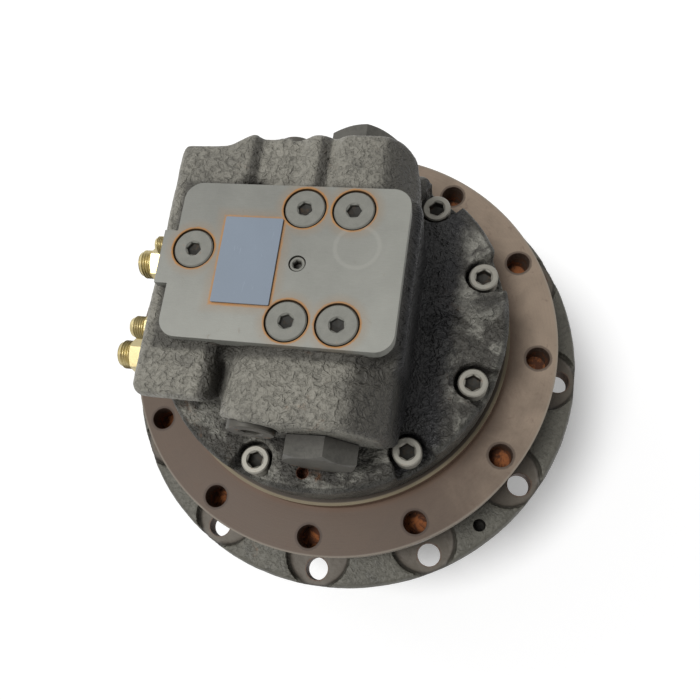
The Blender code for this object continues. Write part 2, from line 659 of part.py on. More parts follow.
def make_spindle():
    """Frame flange, spigot, bearing seats and, at the gear end, the four fixed pins of stage two."""
    flange = FRAME_FLANGE_RADIUS
    edge = FRAME_EDGE_CHAMFER
    neck = (SPINDLE_SEAT_RADIUS + SEAL_INNER_RADIUS) / 2
    seal_top = SEAL_2_TOP + SEAT_GAP
    skirt_bottom = SEAL_2_BOTTOM + SEAL_FLOOR
    outside = [
        (0, SPINDLE_BOTTOM), (SPINDLE_END_RADIUS, SPINDLE_BOTTOM), (SPINDLE_END_RADIUS, NUT_TOP),
        (SPINDLE_SEAT_RADIUS, NUT_TOP), (SPINDLE_SEAT_RADIUS, SPINDLE_SHOULDER), (neck, SPINDLE_SHOULDER),
        (SEAL_INNER_RADIUS - OVERRUN, SEAL_1_TOP), (SEAL_INNER_RADIUS - OVERRUN, seal_top),
        (SEAL_OUTER_RADIUS + SEAT_GAP, seal_top), (SEAL_OUTER_RADIUS + SEAT_GAP, skirt_bottom),
        (SKIRT_RADIUS, skirt_bottom), (SKIRT_RADIUS, FRAME_FLANGE_BOTTOM),
        (flange, FRAME_FLANGE_BOTTOM), (flange, FRAME_FACE_HEIGHT), (SPIGOT_RADIUS, FRAME_FACE_HEIGHT),
        (SPIGOT_RADIUS, SPIGOT_TOP - edge), (SPIGOT_RADIUS - edge, SPIGOT_TOP), (0, SPIGOT_TOP),
    ]
    spindle = place("spindle", turned(outside, LARGE_ROUND, closed=False), "machined_rusted")
    space = turned([
        (0, MOTOR_FLOOR), (MOTOR_SPACE_RADIUS, MOTOR_FLOOR), (MOTOR_SPACE_RADIUS, BRAKE_SPACE_BOTTOM),
        (BRAKE_SPACE_RADIUS, BRAKE_SPACE_BOTTOM), (BRAKE_SPACE_RADIUS, SPIGOT_TOP + OVERRUN),
        (0, SPIGOT_TOP + OVERRUN),
    ], MEDIUM_ROUND, closed=False)
    cut(spindle, space)
    bearing_floor = MOTOR_FLOOR - FRONT_BEARING_WIDTH - SEAT_GAP
    seal_floor = bearing_floor - SHAFT_SEAL_HEIGHT - SEAT_GAP
    shaft_way = turned([
        (0, SPINDLE_BOTTOM - OVERRUN), (SHAFT_SEAL_RADIUS + SEAT_GAP, SPINDLE_BOTTOM - OVERRUN),
        (SHAFT_SEAL_RADIUS + SEAT_GAP, seal_floor), (SHAFT_SEAL_OUTER_RADIUS + SEAT_GAP, seal_floor),
        (SHAFT_SEAL_OUTER_RADIUS + SEAT_GAP, bearing_floor), (FRONT_BEARING_RADIUS + SEAT_GAP, bearing_floor),
        (FRONT_BEARING_RADIUS + SEAT_GAP, MOTOR_FLOOR + OVERRUN), (0, MOTOR_FLOOR + OVERRUN),
    ], MEDIUM_ROUND, closed=False)
    cut(spindle, shaft_way)
    cut(spindle, around(FRAME_HOLE_COUNT, lambda: rod(FRAME_HOLE_RADIUS, FRAME_FLANGE_BOTTOM - OVERRUN,
                                                      FRAME_FACE_HEIGHT + OVERRUN, SMALL_ROUND), FRAME_HOLE_CIRCLE))
    hole_bottom = SPIGOT_TOP - SCREW_THREAD_LENGTH - OVERRUN
    cut(spindle, at_turns(SCREW_TURNS_DEG, lambda: rod(SCREW_SHANK_RADIUS + SEAT_GAP, hole_bottom,
                                                       SPIGOT_TOP + OVERRUN, FINE_ROUND), SCREW_CIRCLE))
    join(spindle, around(STAGE_2_PLANETS, lambda: rod(PIN_2_RADIUS, STAGE_2_BOTTOM, SPINDLE_BOTTOM + OVERRUN,
                                                      FINE_ROUND), PLANET_ORBIT_RADIUS))


def make_hub(hub_body):
    """Drum with the internal ring gear, sprocket flange with its spotfaces, and the neck round the seal."""
    top = SEAL_2_BOTTOM + SEAL_FLOOR - 2 * SEAT_GAP
    flange = SPROCKET_FLANGE_RADIUS
    outside = [
        (0, COVER_RIM_RECESS), (DRUM_RADIUS - DRUM_CHAMFER, COVER_RIM_RECESS),
        (DRUM_RADIUS, COVER_RIM_RECESS + DRUM_CHAMFER), (DRUM_RADIUS, SPROCKET_SEAT - 2 * PILOT_HEIGHT),
        (PILOT_RADIUS, SPROCKET_SEAT - PILOT_HEIGHT), (PILOT_RADIUS, SPROCKET_SEAT), (flange, SPROCKET_SEAT),
        (flange, SPOTFACE_LEVEL), (flange - RIM_ROUND, RIM_LEVEL), (NECK_RADIUS, RIM_LEVEL), (NECK_RADIUS, top),
        (0, top),
    ]
    hub = place("hub", turned(outside, LARGE_ROUND, closed=False), "hub_casting", parent=hub_body)
    bearing_seat = BEARING_OUTER_RADIUS + SEAT_GAP
    shoulder = BEARING_OUTER_RADIUS - HUB_SHOULDER_DEPTH
    cover_seat = COVER_RADIUS + SEAT_GAP
    inside = [
        (0, COVER_RIM_RECESS - OVERRUN), (cover_seat, COVER_RIM_RECESS - OVERRUN),
        (cover_seat, COVER_THICKNESS + SEAT_GAP), (RING_TIP_RADIUS, COVER_THICKNESS + SEAT_GAP),
        (RING_TIP_RADIUS, BEARING_1_BOTTOM - STAGE_GAP), (bearing_seat, BEARING_1_BOTTOM - STAGE_GAP),
        (bearing_seat, HUB_SHOULDER_BOTTOM), (shoulder, HUB_SHOULDER_BOTTOM), (shoulder, HUB_SHOULDER_TOP),
        (bearing_seat, HUB_SHOULDER_TOP), (bearing_seat, SEAL_1_BOTTOM - SEAT_GAP),
        (SEAL_OUTER_RADIUS + SEAT_GAP, SEAL_1_BOTTOM - SEAT_GAP), (SEAL_OUTER_RADIUS + SEAT_GAP, SEAL_1_TOP),
        (SEAL_OUTER_RADIUS + SEAL_MOUTH, SEAL_1_TOP), (SEAL_OUTER_RADIUS + SEAL_MOUTH, top + OVERRUN),
        (0, top + OVERRUN),
    ]
    cut(hub, turned(inside, LARGE_ROUND, closed=False))
    spaces = gear_outline(RING_TEETH, RING_ROOT_RADIUS, RING_TIP_RADIUS - OVERRUN, -RING_BACKLASH,
                          steps=RING_FLANK_STEPS)
    cut(hub, prism(spaces, COVER_THICKNESS - OVERRUN, STAGE_2_TOP + STAGE_GAP))
    lock_low = COVER_THICKNESS - LOCK_RING_HEIGHT - COVER_RIM_RECESS
    cut(hub, turned([
        (0, lock_low - SEAT_GAP), (cover_seat + LOCK_RING_WIDTH / 2, lock_low - SEAT_GAP),
        (cover_seat + LOCK_RING_WIDTH / 2, lock_low + LOCK_RING_HEIGHT + SEAT_GAP),
        (0, lock_low + LOCK_RING_HEIGHT + SEAT_GAP),
    ], LARGE_ROUND, closed=False))
    cut(hub, around(SPROCKET_HOLE_COUNT, lambda: rod(SPOTFACE_RADIUS, SPOTFACE_LEVEL, top + OVERRUN, MEDIUM_ROUND),
                    SPROCKET_HOLE_CIRCLE - SPOTFACE_INSET))
    cut(hub, around(SPROCKET_HOLE_COUNT, lambda: rod(SPROCKET_HOLE_RADIUS, SPROCKET_SEAT - OVERRUN,
                                                     RIM_LEVEL + OVERRUN, FINE_ROUND), SPROCKET_HOLE_CIRCLE))
    cut(hub, at_turns(JACK_HOLE_TURNS_DEG, lambda: rod(JACK_HOLE_RADIUS, SPROCKET_SEAT - OVERRUN,
                                                       RIM_LEVEL + OVERRUN, FINE_ROUND), SPROCKET_HOLE_CIRCLE))


def make_end_cover(hub_body):
    """Cover in the hub's bore, held by a locking ring, with two plugs for oil."""
    inner_share, outer_share = COVER_DISH_SHARES
    lock_low = COVER_THICKNESS - LOCK_RING_HEIGHT - COVER_RIM_RECESS
    ledge = COVER_RADIUS - LOCK_RING_WIDTH
    outline = [
        (0, 0), (COVER_RADIUS * inner_share, 0), (COVER_RADIUS * inner_share + COVER_DISH_DEPTH, COVER_DISH_DEPTH),
        (COVER_RADIUS * outer_share - COVER_DISH_DEPTH, COVER_DISH_DEPTH), (COVER_RADIUS * outer_share, 0),
        (ledge, 0), (ledge, lock_low + LOCK_RING_HEIGHT + SEAT_GAP),
        (COVER_RADIUS, lock_low + LOCK_RING_HEIGHT + SEAT_GAP), (COVER_RADIUS, COVER_THICKNESS), (0, COVER_THICKNESS),
    ]
    cover = place("end_cover", turned(outline, LARGE_ROUND, closed=False), "dark_casting", parent=hub_body)
    circle = COVER_RADIUS * COVER_PLUG_CIRCLE_SHARE
    cut(cover, at_turns(COVER_PLUG_TURNS_DEG, lambda: rod(COVER_PLUG_RADIUS + SEAT_GAP, -OVERRUN,
                                                          COVER_PLUG_DEPTH, SMALL_ROUND), circle))
    ring = tube(COVER_RADIUS + LOCK_RING_WIDTH / 2, ledge + SEAT_GAP, lock_low, lock_low + LOCK_RING_HEIGHT)
    place("lock_ring", ring, "machined_steel", parent=hub_body)
    for number, turn in enumerate(COVER_PLUG_TURNS_DEG, 1):
        plug = place(f"cover_plug_{number}", rod(COVER_PLUG_RADIUS, SEAT_GAP, COVER_PLUG_DEPTH - SEAT_GAP),
                     "screw_steel", polar(circle, math.radians(turn)), parent=hub_body)
        cut(plug, prism(hexagon(COVER_PLUG_SOCKET_FLATS), -OVERRUN, COVER_PLUG_DEPTH / 2))


def make_gears(sun_body, carrier_body):
    """Both stages. The first planet of each sits on +X, with a tooth in the ring's first space."""
    sun_phase = math.pi * (PLANET_TEETH + 1) / SUN_TEETH
    make_gear("sun_1", SUN_TEETH, SHAFT_GEAR_RADIUS + SEAT_GAP, STAGE_1_BOTTOM, STAGE_1_TOP, sun_phase,
              (0, 0, 0), "gear_steel", sun_body)
    stub = (SUN_2_STUB_RADIUS, CARRIER_BOTTOM)
    make_gear("sun_2", SUN_TEETH, SHAFT_GEAR_RADIUS + 2 * SEAT_GAP, STAGE_2_BOTTOM, STAGE_2_TOP, sun_phase,
              (0, 0, 0), "gear_steel", carrier_body, stub)
    stages = (("planet_1", STAGE_1_PLANETS, PIN_1_RADIUS, STAGE_1_BOTTOM, STAGE_1_TOP, carrier_body),
              ("planet_2", STAGE_2_PLANETS, PIN_2_RADIUS, STAGE_2_BOTTOM, STAGE_2_TOP, None))
    for name, count, pin, bottom, top, parent in stages:
        for number in range(count):
            turn = math.tau * number / count
            make_gear(f"{name}{'abcd'[number]}", PLANET_TEETH, pin + SEAT_GAP, bottom, top,
                      planet_phase(turn), polar(PLANET_ORBIT_RADIUS, turn), "gear_steel", parent)
    plate_radius = PLANET_ORBIT_RADIUS + PIN_1_RADIUS + OVERRUN
    plate = tube(plate_radius, SUN_2_STUB_RADIUS + SEAT_GAP, CARRIER_BOTTOM, CARRIER_TOP, MEDIUM_ROUND)
    carrier = place("planet_carrier_1", plate, "gear_steel", parent=carrier_body)
    join(carrier, around(STAGE_1_PLANETS, lambda: rod(PIN_1_RADIUS, STAGE_1_BOTTOM, CARRIER_BOTTOM + OVERRUN,
                                                      FINE_ROUND), PLANET_ORBIT_RADIUS))


def make_main_bearings(hub_body, cage_bodies):
    """Two ball bearings: inner race on the spindle, outer race in the hub, balls in a cage between."""
    race = BEARING_SECTION * RACE_SHARE
    centre_radius = (BEARING_BORE_RADIUS + BEARING_OUTER_RADIUS) / 2
    ball = BEARING_SECTION * (1 - 2 * RACE_SHARE) / 2 - SEAT_GAP
    for number, bottom in enumerate((BEARING_1_BOTTOM, BEARING_2_BOTTOM), 1):
        top = bottom + BEARING_WIDTH
        middle = (bottom + top) / 2
        place(f"bearing_inner_race_{number}",
              tube(BEARING_BORE_RADIUS + race, BEARING_BORE_RADIUS, bottom, top, LARGE_ROUND), "bearing_steel")
        place(f"bearing_outer_race_{number}",
              tube(BEARING_OUTER_RADIUS, BEARING_OUTER_RADIUS - race, bottom, top, LARGE_ROUND), "bearing_steel",
              parent=hub_body)
        half = ball * CAGE_SHARE
        cage = place(f"bearing_balls_{number}",
                     tube(centre_radius + half, centre_radius - half, middle - half, middle + half, 2 * BALL_COUNT),
                     "bearing_steel", parent=cage_bodies[number - 1])

        def one_ball():
            bm = bmesh.new()
            bmesh.ops.create_uvsphere(bm, u_segments=BALL_SEGMENTS, v_segments=BALL_RINGS, radius=ball)
            return moved_to(bm, (0, 0, middle))

        join(cage, around(BALL_COUNT, one_ball, centre_radius, math.pi / BALL_COUNT))
    nut = place("bearing_nut", tube(SPINDLE_END_RADIUS + SEAT_GAP + NUT_RADIAL, SPINDLE_END_RADIUS + SEAT_GAP,
                                    NUT_TOP - NUT_HEIGHT, NUT_TOP, LARGE_ROUND), "machined_steel")

    def slot():
        half = NUT_SLOT_WIDTH / 2
        return prism([(-NUT_SLOT_DEPTH, -half), (NUT_SLOT_DEPTH, -half), (NUT_SLOT_DEPTH, half),
                      (-NUT_SLOT_DEPTH, half)], NUT_TOP - NUT_HEIGHT - OVERRUN, NUT_TOP + OVERRUN)

    slots = []
    for step in range(NUT_SLOTS):
        angle = math.tau * step / NUT_SLOTS
        tool = moved_to(slot(), (SPINDLE_END_RADIUS + SEAT_GAP + NUT_RADIAL, 0, 0))
        bmesh.ops.rotate(tool, verts=tool.verts, cent=(0, 0, 0), matrix=Matrix.Rotation(angle, 3, "Z"))
        slots.append(tool)
    cut(nut, merged(*slots))


def make_face_seal(hub_body):
    """Two lapped rings face to face, one in the hub and one in the spindle."""
    place("seal_ring_1", tube(SEAL_OUTER_RADIUS, SEAL_INNER_RADIUS, SEAL_1_BOTTOM, SEAL_1_TOP, LARGE_ROUND),
          "bearing_steel", parent=hub_body)
    place("seal_ring_2", tube(SEAL_OUTER_RADIUS, SEAL_INNER_RADIUS, SEAL_2_BOTTOM, SEAL_2_TOP, LARGE_ROUND),
          "bearing_steel")


def make_motor(shaft_body, brake_body):
    """Shaft, cylinder block with its pistons, swash plate drawn square, valve plate and parking brake."""
    shaft_bottom = STAGE_1_BOTTOM - SEAT_GAP
    shaft_top = REAR_BEARING_TOP - SHAFT_END_CLEARANCE
    place("motor_shaft", turned([
        (0, shaft_bottom), (SHAFT_GEAR_RADIUS, shaft_bottom), (SHAFT_GEAR_RADIUS, SPINDLE_BOTTOM),
        (SHAFT_SEAL_RADIUS, SPINDLE_BOTTOM), (SHAFT_SEAL_RADIUS, SHOE_BOTTOM), (SHAFT_DRIVE_RADIUS, SHOE_BOTTOM),
        (SHAFT_DRIVE_RADIUS, CYLINDER_TOP), (SHAFT_END_RADIUS, CYLINDER_TOP),
        (SHAFT_END_RADIUS, shaft_top), (0, shaft_top),
    ], SMALL_ROUND, closed=False), "gear_steel", parent=shaft_body)
    block = place("cylinder_block", tube(BLOCK_RADIUS, SHAFT_DRIVE_RADIUS + SEAT_GAP, CYLINDER_BOTTOM, CYLINDER_TOP,
                                         MEDIUM_ROUND), "machined_steel", parent=shaft_body)
    bore_depth = (CYLINDER_TOP - CYLINDER_BOTTOM) * BORE_DEPTH_SHARE
    cut(block, around(PISTON_COUNT, lambda: rod(PISTON_RADIUS + SEAT_GAP, CYLINDER_BOTTOM - OVERRUN,
                                                CYLINDER_BOTTOM + bore_depth, COARSE_ROUND), PISTON_CIRCLE_RADIUS))
    retainer_bottom = SHOE_BOTTOM + (SHOE_HEIGHT - RETAINER_THICKNESS) / 2
    pistons = place("piston_set", tube(PISTON_CIRCLE_RADIUS + SHOE_RADIUS, SHAFT_DRIVE_RADIUS + SEAT_GAP,
                                       retainer_bottom, retainer_bottom + RETAINER_THICKNESS, MEDIUM_ROUND),
                    "bronze", parent=shaft_body)
    piston_top = CYLINDER_BOTTOM + bore_depth * PISTON_REACH_SHARE

    def piston():
        return turned([(0, SHOE_BOTTOM), (SHOE_RADIUS, SHOE_BOTTOM), (SHOE_RADIUS, SHOE_TOP),
                       (PISTON_RADIUS, SHOE_TOP), (PISTON_RADIUS, piston_top), (0, piston_top)],
                      COARSE_ROUND, closed=False)

    join(pistons, around(PISTON_COUNT, piston, PISTON_CIRCLE_RADIUS))
    swash_radius = MOTOR_SPACE_RADIUS - SEAT_GAP
    place("swash_plate", tube(swash_radius, SHAFT_SEAL_RADIUS + SEAT_GAP, SWASH_BOTTOM, SWASH_TOP, MEDIUM_ROUND),
          "machined_steel")
    place("valve_plate", tube(VALVE_PLATE_RADIUS, SHAFT_END_RADIUS + SEAT_GAP, VALVE_PLATE_BOTTOM,
                              VALVE_PLATE_BOTTOM + VALVE_PLATE_THICKNESS, MEDIUM_ROUND), "bronze")
    place("brake_disc", tube(BRAKE_SPACE_RADIUS - BRAKE_STEP_WIDTH, BLOCK_RADIUS + SEAT_GAP, BRAKE_DISC_BOTTOM,
                             BRAKE_DISC_BOTTOM + BRAKE_PLATE_THICKNESS, MEDIUM_ROUND), "friction_lining",
          parent=shaft_body)
    place("brake_plate", tube(BRAKE_SPACE_RADIUS - SEAT_GAP, BLOCK_RADIUS + BRAKE_STEP_WIDTH, BRAKE_PLATE_BOTTOM,
                              BRAKE_PLATE_BOTTOM + BRAKE_PLATE_THICKNESS, MEDIUM_ROUND), "machined_steel")
    place("brake_piston", tube(BRAKE_SPACE_RADIUS - SEAT_GAP, BLOCK_RADIUS + BRAKE_STEP_WIDTH, BRAKE_PISTON_BOTTOM,
                               BRAKE_PISTON_TOP, MEDIUM_ROUND), "machined_steel", parent=brake_body)
    bearing_bottom = MOTOR_FLOOR - FRONT_BEARING_WIDTH
    place("shaft_bearing_front", tube(FRONT_BEARING_RADIUS, SHAFT_SEAL_RADIUS + SEAT_GAP, bearing_bottom, MOTOR_FLOOR,
                                      MEDIUM_ROUND), "bearing_steel")
    place("shaft_bearing_rear", tube(REAR_BEARING_RADIUS, SHAFT_END_RADIUS + SEAT_GAP, DISC_BOTTOM,
                                     REAR_BEARING_TOP, MEDIUM_ROUND), "bearing_steel")
    seal_bottom = bearing_bottom - SEAT_GAP - SHAFT_SEAL_HEIGHT
    place("shaft_seal", tube(SHAFT_SEAL_OUTER_RADIUS, SHAFT_SEAL_RADIUS + SEAT_GAP, seal_bottom,
                             bearing_bottom - 2 * SEAT_GAP, MEDIUM_ROUND), "seal_rubber")


def screw_pocket(turn):
    """A round seat for a screw head that opens to the disc's edge between flared walls."""
    reach = SCREW_EDGE + OVERRUN
    flare = POCKET_RADIUS * POCKET_FLARE_SHARE
    outline = [(reach, -flare), (reach, flare)]
    for step in range(COARSE_ROUND + 1):
        angle = math.pi / 2 + math.pi * step / COARSE_ROUND
        outline.append((POCKET_RADIUS * math.cos(angle), POCKET_RADIUS * math.sin(angle)))
    tool = moved_to(prism(outline, POCKET_FLOOR, DISC_TOP + FOOT_RISE), (SCREW_CIRCLE, 0, 0))
    bmesh.ops.rotate(tool, verts=tool.verts, cent=(0, 0, 0), matrix=Matrix.Rotation(math.radians(turn), 3, "Z"))
    return tool


def lobe_outline(dip_shares):
    """Section across the spool: side walls with draft, and a cast shoulder with dips between the bores."""
    low = UNDERSIDE_LEVEL
    points = [(LOBE_START - LOBE_SIDE_DRAFT, low), (BLOCK_RIGHT + BLOCK_DRAFT, low), (BLOCK_RIGHT, SPOOL_LEVEL)]
    for step in range(SHOULDER_STEPS + 1):
        share = step / SHOULDER_STEPS
        x = BLOCK_RIGHT + (LOBE_START - BLOCK_RIGHT) * share
        fall = SHOULDER_FALL * (abs(2 * share - 1) ** SHOULDER_POWER)
        for centre_share, half_share, depth_share in dip_shares:
            near = (1 - share - centre_share) / half_share
            if abs(near) < 1:
                fall += SHOULDER_FALL * depth_share * (1 + math.cos(math.pi * near)) / 2
        points.append((x, SHOULDER_LEVEL - fall))
    return points


def lobe(dip_shares, side, corner_cuts=()):
    """One half of the block across the spool, laid along Y. A corner cut is its reach in X and in Y."""
    length = LOBE_HALF_LENGTH
    levels = [(-OVERRUN, 0), (length - CAST_EDGE, 0), (length, CAST_EDGE)]
    bm = tapered_prism(lobe_outline(dip_shares), levels)
    bmesh.ops.bisect_plane(bm, geom=[*bm.verts, *bm.edges, *bm.faces], plane_co=(0, SPOOL_LEVEL, length),
                           plane_no=(0, -LOBE_END_DRAFT, SPOOL_LEVEL - UNDERSIDE_LEVEL), clear_outer=True)
    bmesh.ops.holes_fill(bm, edges=bm.edges, sides=0)
    for reach_x, reach_y in corner_cuts:
        bmesh.ops.bisect_plane(bm, geom=[*bm.verts, *bm.edges, *bm.faces], clear_outer=True,
                               plane_co=(BLOCK_RIGHT, 0, length - reach_y), plane_no=(reach_y, 0, reach_x))
        bmesh.ops.holes_fill(bm, edges=bm.edges, sides=0)
    for corner in bm.verts:
        x, height, along = corner.co
        corner.co = (x, side * along, height)
    bmesh.ops.recalc_face_normals(bm, faces=bm.faces)
    return bm


def wing():
    """The port side of the block: a slab with undercut sides, laid along X."""
    half = WING_HALF_WIDTH
    side = SHOULDER_LEVEL - WING_SIDE_DEPTH
    foot = half - WING_UNDERCUT
    section = [(-foot, UNDERSIDE_LEVEL), (foot, UNDERSIDE_LEVEL), (half, side), (half - CAST_EDGE / 3, SHOULDER_LEVEL),
               (-half + CAST_EDGE / 3, SHOULDER_LEVEL), (-half, side)]
    length = BLOCK_LEFT + WING_END
    bm = tapered_prism(section, [(0, CAST_EDGE), (CAST_EDGE, 0), (length, 0), (length + VALLEY_SLOPE, CAST_EDGE)])
    for corner in bm.verts:
        across, height, along = corner.co
        corner.co = (along - BLOCK_LEFT, across, height)
    bmesh.ops.recalc_face_normals(bm, faces=bm.faces)
    return bm


def horn():
    """Rise of the wing's side wall next to the valley, on the +Y side."""
    outline = [(HORN_LEFT, HORN_BASE), (HORN_RIGHT, HORN_BASE), (HORN_RIGHT, HORN_HALF_WIDTH),
               (HORN_PEAK, HORN_HALF_WIDTH), (HORN_LEFT, WING_HALF_WIDTH)]
    return tapered_prism(outline, [(UNDERSIDE_LEVEL, HORN_DRAFT), (SHOULDER_LEVEL - WING_SIDE_DEPTH, 0),
                                   (SHOULDER_LEVEL - CAST_EDGE / 3, 0), (SHOULDER_LEVEL - SEAT_GAP, CAST_EDGE / 3)])


def web():
    """Fills the foot of the valley between the horn and the relief valve's boss, out to the lobe's end."""
    outline = [(WEB_LEFT, HORN_BASE), (RELIEF_X, HORN_BASE), (RELIEF_X, LOBE_HALF_LENGTH - CAST_EDGE / 3),
               (WEB_LEFT, HORN_HALF_WIDTH - CAST_EDGE / 3)]
    return tapered_prism(outline, [(UNDERSIDE_LEVEL, HORN_DRAFT), (SHOULDER_LEVEL - WEB_SINK - CAST_EDGE / 3, 0),
                                   (SHOULDER_LEVEL - WEB_SINK, CAST_EDGE / 3)])


def make_valve_block():
    """Motor cover and valve block: one casting with a machined face, bores, pockets and passages."""
    edge = DISC_EDGE_ROUND
    disc = turned([
        (0, DISC_BOTTOM), (DISC_RADIUS, DISC_BOTTOM), (DISC_RADIUS, DISC_TOP - edge), (DISC_RADIUS - edge, DISC_TOP),
        (0, DISC_TOP),
    ], LARGE_ROUND, closed=False)
    block = place("valve_block", disc, "dark_casting")
    join(block, tapered_prism(rounded_rectangle(-BLOCK_LEFT + FOOT_SPREAD, BLOCK_RIGHT + BLOCK_DRAFT + FOOT_SPREAD,
                                                -FOOT_HALF_WIDTH, FOOT_HALF_WIDTH, FACE_CORNER),
                              [(DISC_TOP - OVERRUN, 0), (DISC_TOP + SEAT_GAP, 0), (DISC_TOP + FOOT_RISE, FOOT_SPREAD),
                               (SHOULDER_LEVEL - WING_SIDE_DEPTH, FOOT_SPREAD)]))
    join(block, wing())
    join(block, horn())
    join(block, web())
    join(block, lobe(FRONT_DIPS_SHARES, -1))
    join(block, lobe(BACK_DIPS_SHARES, 1, LOBE_CORNER_CUTS))
    join(block, laid_boss(RELIEF_X, RELIEF_LEVEL, RELIEF_BOSS_RADIUS, LOBE_HALF_LENGTH - CAST_EDGE))
    join(block, tapered_prism(rounded_rectangle(-FACE_LEFT, FACE_RIGHT, -FACE_HALF_WIDTH, FACE_HALF_WIDTH,
                                                FACE_CORNER),
                              [(SHOULDER_LEVEL - WING_SIDE_DEPTH, 0), (FACE_LEVEL, 0)]))
    join(block, prism([(-TAB_LEFT, -TAB_HALF_WIDTH), (-FACE_LEFT + FACE_CORNER, -TAB_HALF_WIDTH),
                       (-FACE_LEFT + FACE_CORNER, TAB_HALF_WIDTH), (-TAB_LEFT, TAB_HALF_WIDTH)],
                      SHOULDER_LEVEL - FACE_STEP, FACE_LEVEL))
    rib_end = math.sqrt(DISC_RADIUS ** 2 - (RIB_OFFSET + RIB_RADIUS) ** 2) - DISC_EDGE_ROUND
    rib = laid_along(rod(RIB_RADIUS, 0, rib_end, FINE_ROUND), (1, 0, 0))
    join(block, moved_to(rib, (0, RIB_OFFSET, DISC_TOP - RIB_RADIUS * (1 - RIB_RISE_SHARE))))
    bump = rod(BUMP_RADIUS, DISC_TOP - OVERRUN, DISC_TOP + BUMP_RISE, FINE_ROUND)
    join(block, moved_to(bump, polar(DISC_RADIUS - BUMP_EDGE, math.radians(BUMP_TURN_DEG))))
    cut(block, merged(*[screw_pocket(turn) for turn in SCREW_TURNS_DEG]))
    cut(block, at_turns(SCREW_TURNS_DEG, lambda: rod(SCREW_SHANK_RADIUS + SEAT_GAP, DISC_BOTTOM - OVERRUN,
                                                     POCKET_FLOOR + OVERRUN, FINE_ROUND), SCREW_CIRCLE))
    cut(block, moved_to(rod(DISC_HOLE_RADIUS, DISC_TOP - DISC_HOLE_DEPTH, DISC_TOP + OVERRUN, FINE_ROUND),
                        (0, -SCREW_CIRCLE, 0)))
    cut(block, rod(REAR_BEARING_RADIUS + SEAT_GAP, DISC_BOTTOM - OVERRUN, REAR_BEARING_TOP + SEAT_GAP, MEDIUM_ROUND))
    through = 2 * LOBE_HALF_LENGTH
    bore = laid_along(rod(SPOOL_BORE_RADIUS, -through, through, SMALL_ROUND), (0, 1, 0))
    cut(block, moved_to(bore, (SPOOL_X, 0, SPOOL_LEVEL)))
    for side in (-1, 1):
        relief = turned([
            (0, LOBE_HALF_LENGTH - RELIEF_BORE_DEPTH), (RELIEF_BORE_RADIUS, LOBE_HALF_LENGTH - RELIEF_BORE_DEPTH),
            (RELIEF_BORE_RADIUS, LOBE_HALF_LENGTH - RELIEF_HEAD_HEIGHT),
            (RELIEF_HEAD_RADIUS + SEAT_GAP, LOBE_HALF_LENGTH - RELIEF_HEAD_HEIGHT),
            (RELIEF_HEAD_RADIUS + SEAT_GAP, through), (0, through),
        ], SMALL_ROUND, closed=False)
        cut(block, moved_to(laid_along(relief, (0, side, 0)), (RELIEF_X, 0, RELIEF_LEVEL)))
    plug_floor = FACE_LEVEL - FACE_PLUG_HEAD_HEIGHT - SEAT_GAP
    for x, y in FACE_PLUG_PLACES:
        recess = turned([
            (0, plug_floor - FACE_PLUG_THREAD_LENGTH - SEAT_GAP),
            (FACE_PLUG_THREAD_RADIUS + SEAT_GAP, plug_floor - FACE_PLUG_THREAD_LENGTH - SEAT_GAP),
            (FACE_PLUG_THREAD_RADIUS + SEAT_GAP, plug_floor), (FACE_PLUG_RECESS_RADIUS, plug_floor),
            (FACE_PLUG_RECESS_RADIUS, FACE_LEVEL + OVERRUN), (0, FACE_LEVEL + OVERRUN),
        ], SMALL_ROUND, closed=False)
        cut(block, moved_to(recess, (x, y, 0)))
    cut(block, moved_to(rod(CENTRE_PLUG_RADIUS + SEAT_GAP, FACE_LEVEL - CENTRE_PLUG_SINK - CENTRE_PLUG_LENGTH -
                            SEAT_GAP, FACE_LEVEL + OVERRUN, FINE_ROUND), (CENTRE_PLUG_X, 0, 0)))
    for y, level, sizes in FITTINGS:
        seat = sizes["flats"] / 2 + PORT_SEAT_MARGIN
        port = turned([
            (0, -FITTING_SHANK_LENGTH - PORT_SEAT_DEPTH - SEAT_GAP),
            (sizes["shank"] + SEAT_GAP, -FITTING_SHANK_LENGTH - PORT_SEAT_DEPTH - SEAT_GAP),
            (sizes["shank"] + SEAT_GAP, -PORT_SEAT_DEPTH), (seat, -PORT_SEAT_DEPTH), (seat, OVERRUN), (0, OVERRUN),
        ], SMALL_ROUND, closed=False)
        cut(block, moved_to(laid_along(port, (-1, 0, 0)), (-BLOCK_LEFT, y, level)))


def laid_boss(x, level, radius, half_length):
    boss = laid_along(rod(radius, -half_length, half_length, MEDIUM_ROUND), (0, 1, 0))
    return moved_to(boss, (x, 0, level))


def make_cover_screws():
    head_bottom = POCKET_FLOOR + SEAT_GAP
    head_top = head_bottom + SCREW_HEAD_HEIGHT
    shank_bottom = SPIGOT_TOP - SCREW_THREAD_LENGTH
    for number, turn in enumerate(SCREW_TURNS_DEG, 1):
        screw = place(f"cover_screw_{number}", turned([
            (0, shank_bottom), (SCREW_SHANK_RADIUS, shank_bottom), (SCREW_SHANK_RADIUS, head_bottom),
            (SCREW_HEAD_RADIUS, head_bottom), (SCREW_HEAD_RADIUS, head_top), (0, head_top),
        ], FINE_ROUND, closed=False), "screw_steel", polar(SCREW_CIRCLE, math.radians(turn)), math.radians(turn))
        cut(screw, hex_socket(SCREW_SOCKET_FLATS, SCREW_SOCKET_DEPTH, head_top))


